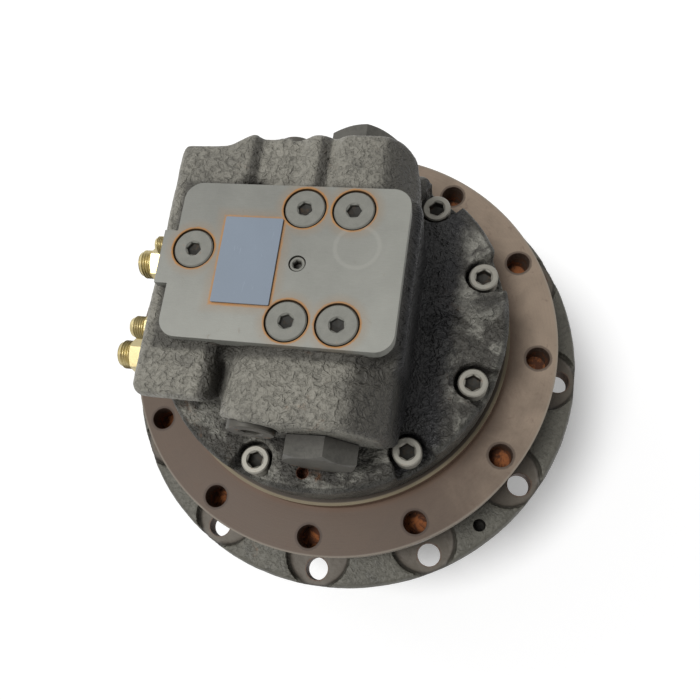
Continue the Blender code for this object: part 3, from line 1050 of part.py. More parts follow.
def make_face_plugs():
    floor = FACE_LEVEL - FACE_PLUG_HEAD_HEIGHT
    for number, (x, y) in enumerate(FACE_PLUG_PLACES, 1):
        plug = place(f"face_plug_{number}", turned([
            (0, floor - FACE_PLUG_THREAD_LENGTH), (FACE_PLUG_THREAD_RADIUS, floor - FACE_PLUG_THREAD_LENGTH),
            (FACE_PLUG_THREAD_RADIUS, floor), (FACE_PLUG_HEAD_RADIUS, floor), (FACE_PLUG_HEAD_RADIUS, FACE_LEVEL),
            (0, FACE_LEVEL),
        ], SMALL_ROUND, closed=False), "machined_steel", (x, y, 0), math.radians(number * SOCKET_TURN_STEP_DEG))
        cut(plug, hex_socket(FACE_PLUG_SOCKET_FLATS, FACE_PLUG_SOCKET_DEPTH, FACE_LEVEL))
    top = FACE_LEVEL - CENTRE_PLUG_SINK
    plug = place("centre_plug", rod(CENTRE_PLUG_RADIUS, top - CENTRE_PLUG_LENGTH, top, FINE_ROUND), "screw_steel",
                 (CENTRE_PLUG_X, 0, 0))
    cut(plug, hex_socket(CENTRE_PLUG_SOCKET_FLATS, CENTRE_PLUG_SOCKET_DEPTH, top))


def make_name_plate():
    bottom = FACE_LEVEL + SEAT_GAP
    place("bare_plate", prism([(PLATE_LEFT, -PLATE_HALF_LENGTH), (PLATE_RIGHT, -PLATE_HALF_LENGTH),
                               (PLATE_RIGHT, PLATE_HALF_LENGTH), (PLATE_LEFT, PLATE_HALF_LENGTH)],
                              bottom, bottom + PLATE_THICKNESS), "bare_plate")


def make_spool_and_caps(spool_body):
    """Control spool on the Y axis, free to slide between the two hexagon caps that close its bore."""
    run = SPOOL_BORE_RADIUS - SEAT_GAP
    neck = run * SPOOL_NECK_SHARE
    half = SPOOL_HALF_LENGTH
    profile = [(0, -half), (neck, -half)]
    lands = sorted({side * share for share in SPOOL_LAND_SHARES for side in (-1, 1)})
    for share in lands:
        low = half * share - half * SPOOL_LAND_WIDTH_SHARE / 2
        high = half * share + half * SPOOL_LAND_WIDTH_SHARE / 2
        profile += [(neck, low), (run, low), (run, high), (neck, high)]
    profile += [(neck, half), (0, half)]
    spool = laid_along(turned(profile, SMALL_ROUND, closed=False), (0, 1, 0))
    place("control_spool", spool, "bearing_steel", parent=spool_body)
    corner = CAP_FLATS / 2 / math.cos(math.pi / 6)
    for number, side in enumerate((-1, 1), 1):
        seat = LOBE_HALF_LENGTH + SEAT_GAP
        end = seat + CAP_HEX_LENGTHS[number - 1]
        hexagon_turn = math.radians(-side * CAP_TURNS_DEG[number - 1])
        cap_bm = prism(hexagon(CAP_FLATS, hexagon_turn), seat, end)
        cap = place(f"spool_cap_{number}", cap_bm, "dark_casting")
        chamfered = turned([(0, seat - OVERRUN), (corner + OVERRUN, seat - OVERRUN), (corner + OVERRUN, end -
                            CAP_CHAMFER - OVERRUN / 2), (CAP_FLATS / 2, end), (0, end)], MEDIUM_ROUND, closed=False)
        combine(cap, chamfered, "INTERSECT")
        join(cap, rod(SPOOL_BORE_RADIUS - SEAT_GAP, seat - CAP_THREAD_LENGTH, seat + OVERRUN, SMALL_ROUND))
        tilt = Matrix.Rotation(-side * math.pi / 2, 4, "X")
        cap.data.transform(tilt)
        cap.location = (SPOOL_X, 0, SPOOL_LEVEL)


def make_relief_plugs():
    for number, side in enumerate((-1, 1), 1):
        seat = LOBE_HALF_LENGTH - RELIEF_HEAD_HEIGHT + SEAT_GAP
        end = seat + RELIEF_HEAD_HEIGHT + RELIEF_PROUD
        shank_end = seat - RELIEF_BORE_DEPTH / 2
        plug = place(f"relief_plug_{number}", turned([
            (0, shank_end), (RELIEF_BORE_RADIUS - SEAT_GAP, shank_end), (RELIEF_BORE_RADIUS - SEAT_GAP, seat),
            (RELIEF_HEAD_RADIUS, seat), (RELIEF_HEAD_RADIUS, end), (0, end),
        ], SMALL_ROUND, closed=False), "screw_steel")
        cut(plug, hex_socket(RELIEF_SOCKET_FLATS, RELIEF_HEAD_HEIGHT, end))
        tilt = Matrix.Rotation(-side * math.pi / 2, 4, "X")
        plug.data.transform(tilt)
        plug.location = (RELIEF_X, 0, RELIEF_LEVEL)


def make_fittings():
    """Hose fittings: hexagon on the port wall, threaded end with a bore, shank in the block."""
    for number, (y, level, sizes) in enumerate(FITTINGS, 1):
        seat = SEAT_GAP - PORT_SEAT_DEPTH
        tip = sizes["reach"]
        thread = sizes["thread"]
        hex_end = seat + sizes["hex"]
        body = turned([
            (0, seat - FITTING_SHANK_LENGTH), (sizes["shank"], seat - FITTING_SHANK_LENGTH),
            (sizes["shank"], seat + OVERRUN / 2), (thread, seat + OVERRUN / 2),
            (thread, tip - FITTING_THREAD_CHAMFER), (thread - FITTING_THREAD_CHAMFER, tip), (0, tip),
        ], SMALL_ROUND, closed=False)
        fitting = place(f"hose_fitting_{number}", body, "yellow_zinc")
        join(fitting, prism(hexagon(sizes["flats"]), seat, hex_end))
        cut(fitting, rod(sizes["bore"], hex_end, tip + OVERRUN, FINE_ROUND))
        fitting.data.transform(Matrix.Rotation(-math.pi / 2, 4, "Y"))
        fitting.location = (-BLOCK_LEFT, y, level)


def main():
    clear_scene()
    hub_body = pivot("hub_pivot")
    carrier_body = pivot("carrier_pivot")
    shaft_body = pivot("shaft_pivot")
    cage_bodies = [pivot("cage_1_pivot"), pivot("cage_2_pivot")]
    brake_body = pivot("brake_pivot")
    spool_body = pivot("spool_pivot", (SPOOL_X, 0, SPOOL_LEVEL))
    make_spindle()
    make_hub(hub_body)
    make_end_cover(hub_body)
    make_gears(shaft_body, carrier_body)
    make_main_bearings(hub_body, cage_bodies)
    make_face_seal(hub_body)
    make_motor(shaft_body, brake_body)
    make_valve_block()
    make_cover_screws()
    make_face_plugs()
    make_name_plate()
    make_spool_and_caps(spool_body)
    make_relief_plugs()
    make_fittings()


main()
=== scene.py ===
"""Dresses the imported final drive: cast, machined and plated pieces, their finishes, and the studio."""

import math

import bmesh
import bpy
from bmesh.types import BMEdge, BMVert
from mathutils import Matrix, Vector, noise


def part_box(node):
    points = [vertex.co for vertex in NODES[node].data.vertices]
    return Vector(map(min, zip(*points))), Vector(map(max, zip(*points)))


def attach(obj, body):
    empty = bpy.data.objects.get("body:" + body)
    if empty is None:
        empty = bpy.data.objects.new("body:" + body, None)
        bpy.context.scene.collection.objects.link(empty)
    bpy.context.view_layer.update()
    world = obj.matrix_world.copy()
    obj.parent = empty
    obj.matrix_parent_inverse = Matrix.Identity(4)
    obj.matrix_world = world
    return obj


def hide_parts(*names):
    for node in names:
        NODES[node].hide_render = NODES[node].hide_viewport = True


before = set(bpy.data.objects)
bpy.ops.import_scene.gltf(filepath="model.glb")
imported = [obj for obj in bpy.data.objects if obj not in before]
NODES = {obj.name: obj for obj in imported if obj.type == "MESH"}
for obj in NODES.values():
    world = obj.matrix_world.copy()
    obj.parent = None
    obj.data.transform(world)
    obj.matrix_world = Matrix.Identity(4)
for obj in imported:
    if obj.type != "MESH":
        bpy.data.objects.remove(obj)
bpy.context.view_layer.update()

bl_info = {
    "name": "Final drive dressing",
    "version": (1, 0, 0),
    "blender": (4, 5, 0),
    "location": "View3D > Sidebar > Final Drive",
    "description": "Builds the visible pieces of an excavator final drive round its packed frame",
    "category": "Object",
}

# One millimetre in scene units
MM = 0.001

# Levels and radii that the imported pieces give
BLOCK_LOW, BLOCK_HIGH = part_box("valve_block")
SPINDLE_LOW, SPINDLE_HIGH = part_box("spindle")
HUB_LOW, HUB_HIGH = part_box("hub")
FACE_LEVEL = BLOCK_HIGH.z
DISC_RADIUS = BLOCK_HIGH.x
SEAT_LEVEL = BLOCK_LOW.z
FRAME_RADIUS = SPINDLE_HIGH.x
SPIGOT_LEVEL = SPINDLE_HIGH.z
SPROCKET_RADIUS = HUB_HIGH.x
COVER_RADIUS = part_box("end_cover")[1].x

# Spindle: the radius and height of each corner of its profile, its frame flange's holes and its planet pins
FRAME_FACE = 0.152
FRAME_UNDERSIDE = 0.135
FRAME_HOLES = 12
FRAME_HOLE_RADIUS = 0.0068
FRAME_CIRCLE = 0.122
SPIGOT_RADIUS = 0.1042
SPINDLE_STEPS = (
    (0.0123, 0.0675), (0.0649, 0.0675), (0.0649, 0.0755), (0.0669, 0.0755), (0.0669, 0.1137),
    (0.08055, 0.1137), (0.0922, 0.1237), (0.0922, 0.1323), (0.1080, 0.1323), (0.1080, 0.1260),
    (0.1135, 0.1260), (0.1135, 0.1350), (FRAME_RADIUS, FRAME_UNDERSIDE), (FRAME_RADIUS, FRAME_FACE),
    (SPIGOT_RADIUS, FRAME_FACE), (SPIGOT_RADIUS, SPIGOT_LEVEL), (0.0545, SPIGOT_LEVEL), (0.0545, 0.1260),
    (0.0500, 0.1260), (0.0500, 0.0895), (0.0263, 0.0895), (0.0263, 0.0772), (0.0203, 0.0772),
    (0.0203, 0.0709), (0.0123, 0.0709),
)
PIN_COUNT = 4
PIN_ORBIT = 0.05625
PIN_RADIUS = 0.008
PIN_LOW = 0.045

# Hub: sprocket flange, drum, ring gear and the seats of its seal, bearings and cover
SPROCKET_SEAT = 0.100
SPOTFACE_LEVEL = 0.1107
RIM_LEVEL = 0.115
SPOTFACE_RADIUS = 0.0208
SPOTFACE_CIRCLE = 0.1322
SPROCKET_HOLES = 12
SPROCKET_HOLE_RADIUS = 0.00725
SPROCKET_CIRCLE = 0.141
JACK_HOLE_RADIUS = 0.004
JACK_TURNS = (-45.0, 135.0)
NECK_RADIUS = 0.1182
FLANGE_SPLIT_RADIUS = 0.108
DRUM_RADIUS = 0.10694
PILOT_RADIUS = 0.12194
PILOT_LOW = 0.094
PILOT_SLOPE_LOW = 0.088
RING_TIP = 0.087
RING_ROOT = 0.0939375
RING_TEETH = 48
RING_TOP = 0.068
TOOTH_WIDTH = 7.4 * MM
TOOTH_TIP_SHARE = 0.38
BEARING_SEAT = 0.0870
BEARING_LEDGE = 0.0830
COVER_SEAT_TOP = 0.0123
SEAL_WALL = 0.1080
SEAL_MOUTH = 0.1092

# Valve block: its base, screw pockets, drilled hole, spool bore and machined face
SCREW_TURNS = (-20.0, 20.0, -53.0, 53.0, -108.0, 108.0, 180.0)
SCREW_CIRCLE = 0.090
POCKET_RADIUS = 0.0102
POCKET_LEVELS = (0.1795, 0.205)
POCKET_MOUTH = (0.016, 0.0235, 0.0255)
POCKET_MOUTH_PLACE = (SCREW_CIRCLE + 0.011, 0, 0.19225)
DISC_BORE = 0.020
DISC_TOP = 0.1925
DISC_HOLE = (0.0003, -0.0901)
DISC_HOLE_RADIUS = 0.0033
HOLE_FLOOR = 0.0012
SPOOL_BORE = 0.0142
BORE_REACH = 0.082
SPOOL_X = 0.0125
SPOOL_LEVEL = 0.213
RELIEF_X = -0.020
RELIEF_LEVEL = 0.2275
FACE_LEFT = -0.066
FACE_RIGHT = 0.0465
FACE_MIDDLE = (FACE_LEFT + FACE_RIGHT) / 2
FACE_HALF = 0.0405
FACE_CORNER = 0.009
FACE_DEPTH = 6.5 * MM
TAB_HALF = 0.014
TAB_LEFT = -0.0732
PLUG_PLACES = ((-0.0040, 0.0289), (0.0200, 0.0289), (-0.0040, -0.0289), (0.0200, -0.0289), (-0.0563, 0.0050))
PLUG_RECESS = 0.0106
PLUG_RECESS_DEPTH = 3.3 * MM
CENTRE_HOLE = (-0.0033, 0, 0)
CENTRE_HOLE_RADIUS = 0.0042
STAIN_PLACE = (0.024, 0.010)
STAIN_RADIUS = 0.0105

# Socket heads: their radius, the socket's flats and depth, and the edge's chamfer
COVER_SCREW = {"radius": 0.008, "flats": 0.008, "depth": 0.005, "chamfer": 0.7 * MM}
FACE_PLUG = {"radius": 0.0098, "flats": 0.0064, "depth": 0.0022, "chamfer": 0.6 * MM}
RELIEF_PLUG = {"radius": 0.0122, "flats": 0.010, "depth": 0.004, "chamfer": 0.6 * MM}
OIL_PLUG = {"radius": 0.009, "flats": 0.008, "depth": 0.0045, "chamfer": 0.5 * MM}
COVER_SCREW_HEAD = 0.010
RELIEF_PLUG_HEAD = 0.0055

# Hexagon caps of the spool's bore: flats, shank and how each is turned
CAP_FLATS = 0.036
CAP_SHANK_RADIUS = 0.0137
CAP_SHANK = 0.013
CAP_TURNS = (14.0, 20.0)

# Hose fittings: thread radius, flats, the hexagon's length, bore radius, shank radius and thread pitch
PORT_WALL = -0.078
FITTING_END = -0.0118
FITTING_TURN = -22.0
FITTING_SIZES = {"large": (0.0080, 0.019, 0.0235, 0.0045, 0.0065, 1.5 * MM),
                 "small": (0.0060, 0.014, 0.006, 0.0030, 0.0045, 1.25 * MM),
                 "short": (0.0048, 0.012, 0.005, 0.0025, 0.0040, 1.0 * MM)}
FITTINGS = ("large", "large", "short", "small")

# Colours of bare steels and castings that the panel doesn't list
CAP_STEEL = (0.092, 0.088, 0.076)
RELIEF_STEEL = (0.085, 0.080, 0.068)
FACE_PLUG_STEEL = (0.225, 0.224, 0.198)
COVER_IRON = (0.105, 0.108, 0.098)
WORN_ZINC = (0.22, 0.15, 0.07)

# Dirt, wear, painted shade and painted light on the castings
CREVICE_SHADE = (0.014, 0.012, 0.010)
RUBBED_IRON_AND_HIGHLIGHT = (0.270, 0.262, 0.228)
SHADED_IRON = (0.040, 0.038, 0.033)
RIGHT_WALL_SHADE = (0.034, 0.031, 0.026)
LEFT_WALL_LIGHT = (0.320, 0.308, 0.268)
FACE_BORDER_DARK = (0.030, 0.028, 0.024)
BASE_EDGE_DARK = (0.030, 0.029, 0.024)
BLACK_OIL_AND_SHADE = (0.008, 0.008, 0.009)
DRILLED_RUST = (0.110, 0.042, 0.022)
MILLED_IRON = (0.100, 0.078, 0.060)
SPOTFACE_CORNER_SHADE = (0.020, 0.018, 0.015)
RUST_RING = (0.10, 0.045, 0.022)

# Stains on the machined face, and painted shade in its recesses and in the sockets of screws
WARM_STAIN = (0.30, 0.19, 0.10)
BRIGHT_RUST = (0.52, 0.27, 0.07)
PALE_STAIN = (0.50, 0.49, 0.44)
BROWN_SPOT = (0.16, 0.12, 0.085)
FACE_HOLLOW_SHADE = (0.022, 0.017, 0.013)
SOCKET_SHADE = (0.010, 0.009, 0.007)
SOCKET_RUST = (0.045, 0.026, 0.012)

# Tints of the frame flange, with its painted light, shade and highlight
FLANGE_LIT_SIDE = (0.320, 0.250, 0.188)
FLANGE_INNER_SHADE = (0.105, 0.072, 0.052)
FLANGE_EDGE = (0.26, 0.23, 0.19)
FLANGE_BLOTS = (0.10, 0.062, 0.045)
HOLE_RUST = (0.34, 0.115, 0.035)
HOLE_DARK_RUST = (0.09, 0.030, 0.013)
HOLE_DEPTH_SHADE = (0.060, 0.030, 0.018)
HOLE_MOUTH = (0.050, 0.034, 0.026)
SPIGOT_RUST = (0.15, 0.080, 0.045)
SPIGOT_SHADE = (0.030, 0.026, 0.020)
SPIGOT_HIGHLIGHT = (0.20, 0.170, 0.110)
FLANGE_HOLLOW_SHADE = (0.030, 0.018, 0.012)

# Finishes of the pieces inside: colour, roughness, metallic, tint and how much of it
INNER_FINISHES = {
    "gear": ("gear_steel", (0.34, 0.33, 0.31), 0.30, 0.9, (0.20, 0.15, 0.09)),
    "bearing": ("bearing_steel", (0.50, 0.50, 0.51), 0.20, 0.95, (0.32, 0.30, 0.27)),
    "bronze": ("bronze", (0.46, 0.30, 0.14), 0.34, 0.9, (0.25, 0.14, 0.06)),
    "rubber": ("seal_rubber", (0.03, 0.03, 0.032), 0.70, 0.0, (0.05, 0.048, 0.045)),
    "lining": ("brake_lining", (0.19, 0.15, 0.11), 0.85, 0.0, (0.10, 0.08, 0.06), 0.5),
    "steel": ("machined_parts_steel", (0.40, 0.40, 0.38), 0.33, 0.9, (0.22, 0.18, 0.12)),
}

# Which finish a piece inside gets, by how its name starts; the rest are steel
INNER_KINDS = (("sun", "gear"), ("planet", "gear"), ("motor_shaft", "gear"), ("bearing_nut", "steel"),
               ("bearing", "bearing"), ("seal_ring", "bearing"), ("shaft_bearing", "bearing"),
               ("control_spool", "bearing"), ("piston_set", "bronze"), ("valve_plate", "bronze"),
               ("shaft_seal", "rubber"), ("brake_disc", "lining"))

# Studio: the floor's own glow, the world's level, the lights and the camera
FLOOR_SIZE = 3.0
FLOOR_GLOW = 0.22
WORLD_LEVEL = 0.20
KEY_TOWARDS = (-0.34, -0.14, 0.93)
KEY_POWER = 2.1
KEY_SPREAD = 22.0
SOFTBOX_PLACE = (-0.9, 0.5, 0.9)
SOFTBOX_AIM = (0, 0, 0.14)
SOFTBOX_SIZE = 0.7
SOFTBOX_POWER = 1.6
LENS = 30.365
LENS_SHIFT = (0.01, 0.12)
CAMERA_PLACE = (0.07488, -0.12889, 0.34651 + FRAME_FACE)
CAMERA_TURN = ((0.978752, -0.106067, 0.175481),
               (0.140346, 0.970468, -0.196199),
               (-0.149489, 0.216658, 0.964734))


# Shapes that the pieces share


def new_piece(name, bm, body, smooth_angle=40.0):
    """Makes an object from a bmesh, which rides on a body."""
    mesh = bpy.data.meshes.new(name)
    bm.to_mesh(mesh)
    bm.free()
    mesh.shade_smooth()
    mesh.set_sharp_from_angle(angle=math.radians(smooth_angle))
    piece = bpy.data.objects.new(name, mesh)
    bpy.context.scene.collection.objects.link(piece)
    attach(piece, body)
    return piece


def stand_in(node, name, bm, body, finish, smooth_angle=40.0):
    """A dressed piece that replaces a CAD node."""
    piece = new_piece(name, bm, body, smooth_angle)
    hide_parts(node)
    dress(finish, piece)


def settle(piece, smooth_angle=40.0):
    """Applies a piece's modifiers to its mesh, and keeps its many-cornered faces flat."""
    bpy.context.view_layer.update()
    graph = bpy.context.evaluated_depsgraph_get()
    done = bpy.data.meshes.new_from_object(piece.evaluated_get(graph))
    old = piece.data
    piece.modifiers.clear()
    piece.data = done
    done.name = piece.name
    bpy.data.meshes.remove(old)
    done.shade_smooth()
    done.set_sharp_from_angle(angle=math.radians(smooth_angle))
    for polygon in done.polygons:
        polygon.use_smooth = len(polygon.vertices) < 7
    return piece


def spun(points, segments):
    """Turns a closed profile of (radius, height) points about Z."""
    bm = bmesh.new()
    corners = [bm.verts.new((radius, 0, height)) for radius, height in points]
    edges = [bm.edges.new(pair) for pair in zip(corners, corners[1:] + corners[:1])]
    bmesh.ops.spin(bm, geom=corners + edges, cent=(0, 0, 0), axis=(0, 0, 1), dvec=(0, 0, 0), angle=math.tau,
                   steps=segments, use_merge=True, use_duplicate=False)
    bmesh.ops.remove_doubles(bm, verts=bm.verts, dist=MM / 200)
    bmesh.ops.recalc_face_normals(bm, faces=bm.faces)
    return bm


def rod(radius, low, high, segments=32):
    """A round rod along Z between two levels."""
    bm = bmesh.new()
    bmesh.ops.create_cone(bm, cap_ends=True, segments=segments, radius1=radius, radius2=radius,
                          depth=high - low)
    return moved(bm, (0, 0, (low + high) / 2))


def cuboid(size, middle):
    bm = bmesh.new()
    bmesh.ops.create_cube(bm, size=1.0)
    bmesh.ops.scale(bm, verts=bm.verts, vec=size)
    return moved(bm, middle)


def moved(bm, offset):
    bmesh.ops.translate(bm, verts=bm.verts, vec=offset)
    return bm


def turned(bm, angle, axis="Z"):
    bmesh.ops.rotate(bm, verts=bm.verts, cent=(0, 0, 0), matrix=Matrix.Rotation(angle, 3, axis))
    return bm


def joined(*parts):
    """One bmesh that holds the shells of several."""
    whole = bmesh.new()
    for part in parts:
        holder = bpy.data.meshes.new("holder")
        part.to_mesh(holder)
        part.free()
        whole.from_mesh(holder)
        bpy.data.meshes.remove(holder)
    return whole


def shape_of(piece):
    """A piece's mesh as a bmesh."""
    bm = bmesh.new()
    bm.from_mesh(piece.data)
    return bm


def on_circle(angles, radius):
    return [(radius * math.cos(angle), radius * math.sin(angle)) for angle in angles]


def evenly(count, radius):
    """Places of a bolt circle, the first on the X axis."""
    return on_circle([math.tau * step / count for step in range(count)], radius)


def repeated(places, make):
    """One bmesh with the same shape at every place."""
    return joined(*[moved(make(), (x, y, 0)) for x, y in places])


def carve(piece, tool_bm, operation="DIFFERENCE"):
    """Cuts the shells of a bmesh out of a piece, or adds them to it."""
    mesh = bpy.data.meshes.new("cutter")
    tool_bm.to_mesh(mesh)
    tool_bm.free()
    tool = bpy.data.objects.new("cutter", mesh)
    bpy.context.scene.collection.objects.link(tool)
    change = piece.modifiers.new("carve", "BOOLEAN")
    change.operation = operation
    change.solver = "EXACT"
    change.object = tool
    settle(piece)
    bpy.data.objects.remove(tool, do_unlink=True)
    bpy.data.meshes.remove(mesh)
    return piece


def bevelled(piece, width, angle=35.0):
    """Breaks a piece's sharp edges."""
    change = piece.modifiers.new("bevel", "BEVEL")
    change.width = width
    change.segments = 2
    change.profile = 0.5
    change.limit_method = "ANGLE"
    change.angle_limit = math.radians(angle)
    change.use_clamp_overlap = True
    return settle(piece, 20.0)


def only(kind, geometry):
    """The corners or the edges among what an operator gave back."""
    return [item for item in geometry if isinstance(item, kind)]


def hexagon_share(angle):
    """How far a hexagon's side lies from its middle at an angle, in shares of half its flats."""
    within = (angle + math.pi / 6) % (math.pi / 3) - math.pi / 6
    return 1 / math.cos(within)


def socket_head(low, high, radius, flats, depth, chamfer, turn=0.0, shank=None, segments=48):
    """A round head with a chamfered edge and a hexagon socket in its top, over a shank (radius, end)."""
    half = flats / 2
    mouth = half / math.cos(math.pi / 6) * 1.04
    steps = [(radius, low, False), (radius, high - chamfer, False), (radius - chamfer, high, False),
             (mouth + MM * 0.25, high, False), (mouth, high - MM * 0.25, False),
             (half, high - MM * 0.7, True), (half, high - depth, True),
             (half * 0.02, high - depth - half * 0.3, False)]
    if shank:
        girth, end = shank
        steps[:0] = [(girth - MM, end, False), (girth, end + MM, False), (girth, low, False)]
    bm = bmesh.new()
    first = bmesh.ops.create_circle(bm, cap_ends=True, segments=segments, radius=steps[0][0])
    bmesh.ops.translate(bm, verts=first["verts"], vec=(0, 0, steps[0][1]))
    loop = list(bm.edges)
    for reach, height, is_hexagon in steps[1:]:
        loop = only(BMEdge, bmesh.ops.extrude_edge_only(bm, edges=loop)["geom"])
        for corner in {vert for edge in loop for vert in edge.verts}:
            angle = math.atan2(corner.co.y, corner.co.x)
            share = hexagon_share(angle) if is_hexagon else 1
            corner.co = (reach * share * math.cos(angle), reach * share * math.sin(angle), height)
        loop = [edge for edge in loop if all(abs(vert.co.z - height) < MM / 100 for vert in edge.verts)]
    bmesh.ops.edgeloop_fill(bm, edges=loop)
    bmesh.ops.recalc_face_normals(bm, faces=bm.faces)
    return turned(bm, turn)


def hexagon_body(flats, low, high, slope=0.55, segments=72, both=False):
    """A hexagon along Z whose end is chamfered by a cone, which leaves an arc on each flat."""
    bm = bmesh.new()
    half = flats / 2
    crown = half * 0.985
    bmesh.ops.create_circle(bm, cap_ends=True, segments=segments, radius=half)
    loop = list(bm.edges)

    def shaped(corners, height, fall):
        for corner in corners:
            angle = math.atan2(corner.co.y, corner.co.x)
            reach = half * hexagon_share(angle)
            corner.co = (reach * math.cos(angle), reach * math.sin(angle), height - (reach - crown) * fall)

    shaped(list(bm.verts), low, -slope if both else 0.0)
    grown = bmesh.ops.extrude_edge_only(bm, edges=loop)["geom"]
    corners = set(only(BMVert, grown))
    shaped(corners, high, slope)
    loop = [edge for edge in only(BMEdge, grown) if all(vert in corners for vert in edge.verts)]
    for corner in only(BMVert, bmesh.ops.extrude_edge_only(bm, edges=loop)["geom"]):
        angle = math.atan2(corner.co.y, corner.co.x)
        corner.co = (crown * math.cos(angle), crown * math.sin(angle), high)
    bmesh.ops.edgeloop_fill(bm, edges=[edge for edge in bm.edges if edge.is_boundary])
    bmesh.ops.recalc_face_normals(bm, faces=bm.faces)
    return bm


def cast_skin(bm, voxel, smooth_steps, unevenness, size, soft_above=None, soft_steps=0):
    """A cast skin: the shells of a bmesh fused, rounded and made uneven."""
    mesh = bpy.data.meshes.new("cast")
    bm.to_mesh(mesh)
    bm.free()
    rough = bpy.data.objects.new("cast", mesh)
    bpy.context.scene.collection.objects.link(rough)
    change = rough.modifiers.new("fuse", "REMESH")
    change.mode = "VOXEL"
    change.voxel_size = voxel
    change.adaptivity = 0.0
    soft = rough.modifiers.new("round", "SMOOTH")
    soft.factor = 0.5
    soft.iterations = smooth_steps
    skin = shape_of(settle(rough))
    if soft_above is not None:
        upper = [corner for corner in skin.verts if corner.co.z > soft_above]
        for _ in range(soft_steps):
            bmesh.ops.smooth_vert(skin, verts=upper, factor=0.5, use_axis_x=True, use_axis_y=True,
                                  use_axis_z=True)
    skin.normal_update()
    for corner in skin.verts:
        at = corner.co / size
        lift = noise.noise(at) * 0.6 + noise.noise(at * 2.3) * 0.4 + noise.noise(at * 0.25) * 0.8
        corner.co += corner.normal * lift * unevenness
    fused = rough.data
    bpy.data.objects.remove(rough, do_unlink=True)
    bpy.data.meshes.remove(fused)
    return skin


# Finishes


class Value:
    """A shader socket that takes part in Python sums."""

    def __init__(self, paint, socket):
        self.paint = paint
        self.socket = socket

    def math(self, operation, *others):
        return self.paint.node("ShaderNodeMath", {"operation": operation}, [self, *others])

    def __add__(self, other):
        return self.math("ADD", other)

    __radd__ = __add__

    def __sub__(self, other):
        return self.math("SUBTRACT", other)

    def __rsub__(self, other):
        return self.paint.node("ShaderNodeMath", {"operation": "SUBTRACT"}, [other, self])

    def __mul__(self, other):
        return self.math("MULTIPLY", other)

    __rmul__ = __mul__

    def __pow__(self, other):
        return self.math("POWER", other)

    def least(self, other):
        return self.math("MINIMUM", other)

    def most(self, other):
        return self.math("MAXIMUM", other)

    def apart(self, level):
        """How far a value is from a level, either way."""
        return (self - level).math("ABSOLUTE")

    def between(self, low, high):
        """0 below low, 1 above high, and smooth between."""
        return self.paint.node("ShaderNodeMapRange", {"interpolation_type": "SMOOTHSTEP"},
                               {"Value": self, "From Min": low, "From Max": high})

    def under(self, low, high):
        """1 below low, 0 above high, and smooth between."""
        return 1 - self.between(low, high)


class Nodes:
    """The nodes of a material or of the world."""

    def __init__(self, owner):
        owner.use_nodes = True
        self.tree = owner.node_tree

    def node(self, kind, settings, values, output=0):
        """Adds a node with its settings and the values or links of its sockets, and returns an output."""
        made = self.tree.nodes.new(kind)
        for key, setting in settings.items():
            setattr(made, key, setting)
        pairs = values.items() if isinstance(values, dict) else enumerate(values)
        for key, value in pairs:
            self.feed(made.inputs[key], value)
        return Value(self, made.outputs[output])

    def feed(self, socket, value):
        if isinstance(value, Value):
            self.tree.links.new(value.socket, socket)
        else:
            socket.default_value = value

    def seen_rays(self):
        """1 for what is seen directly, in gloss or through glass, and 0 for light that falls on the drive."""
        direct, gloss, glass = [self.node("ShaderNodeLightPath", {}, {}, f"Is {kind} Ray")
                                for kind in ("Camera", "Glossy", "Transmission")]
        return direct.most(gloss).most(glass)


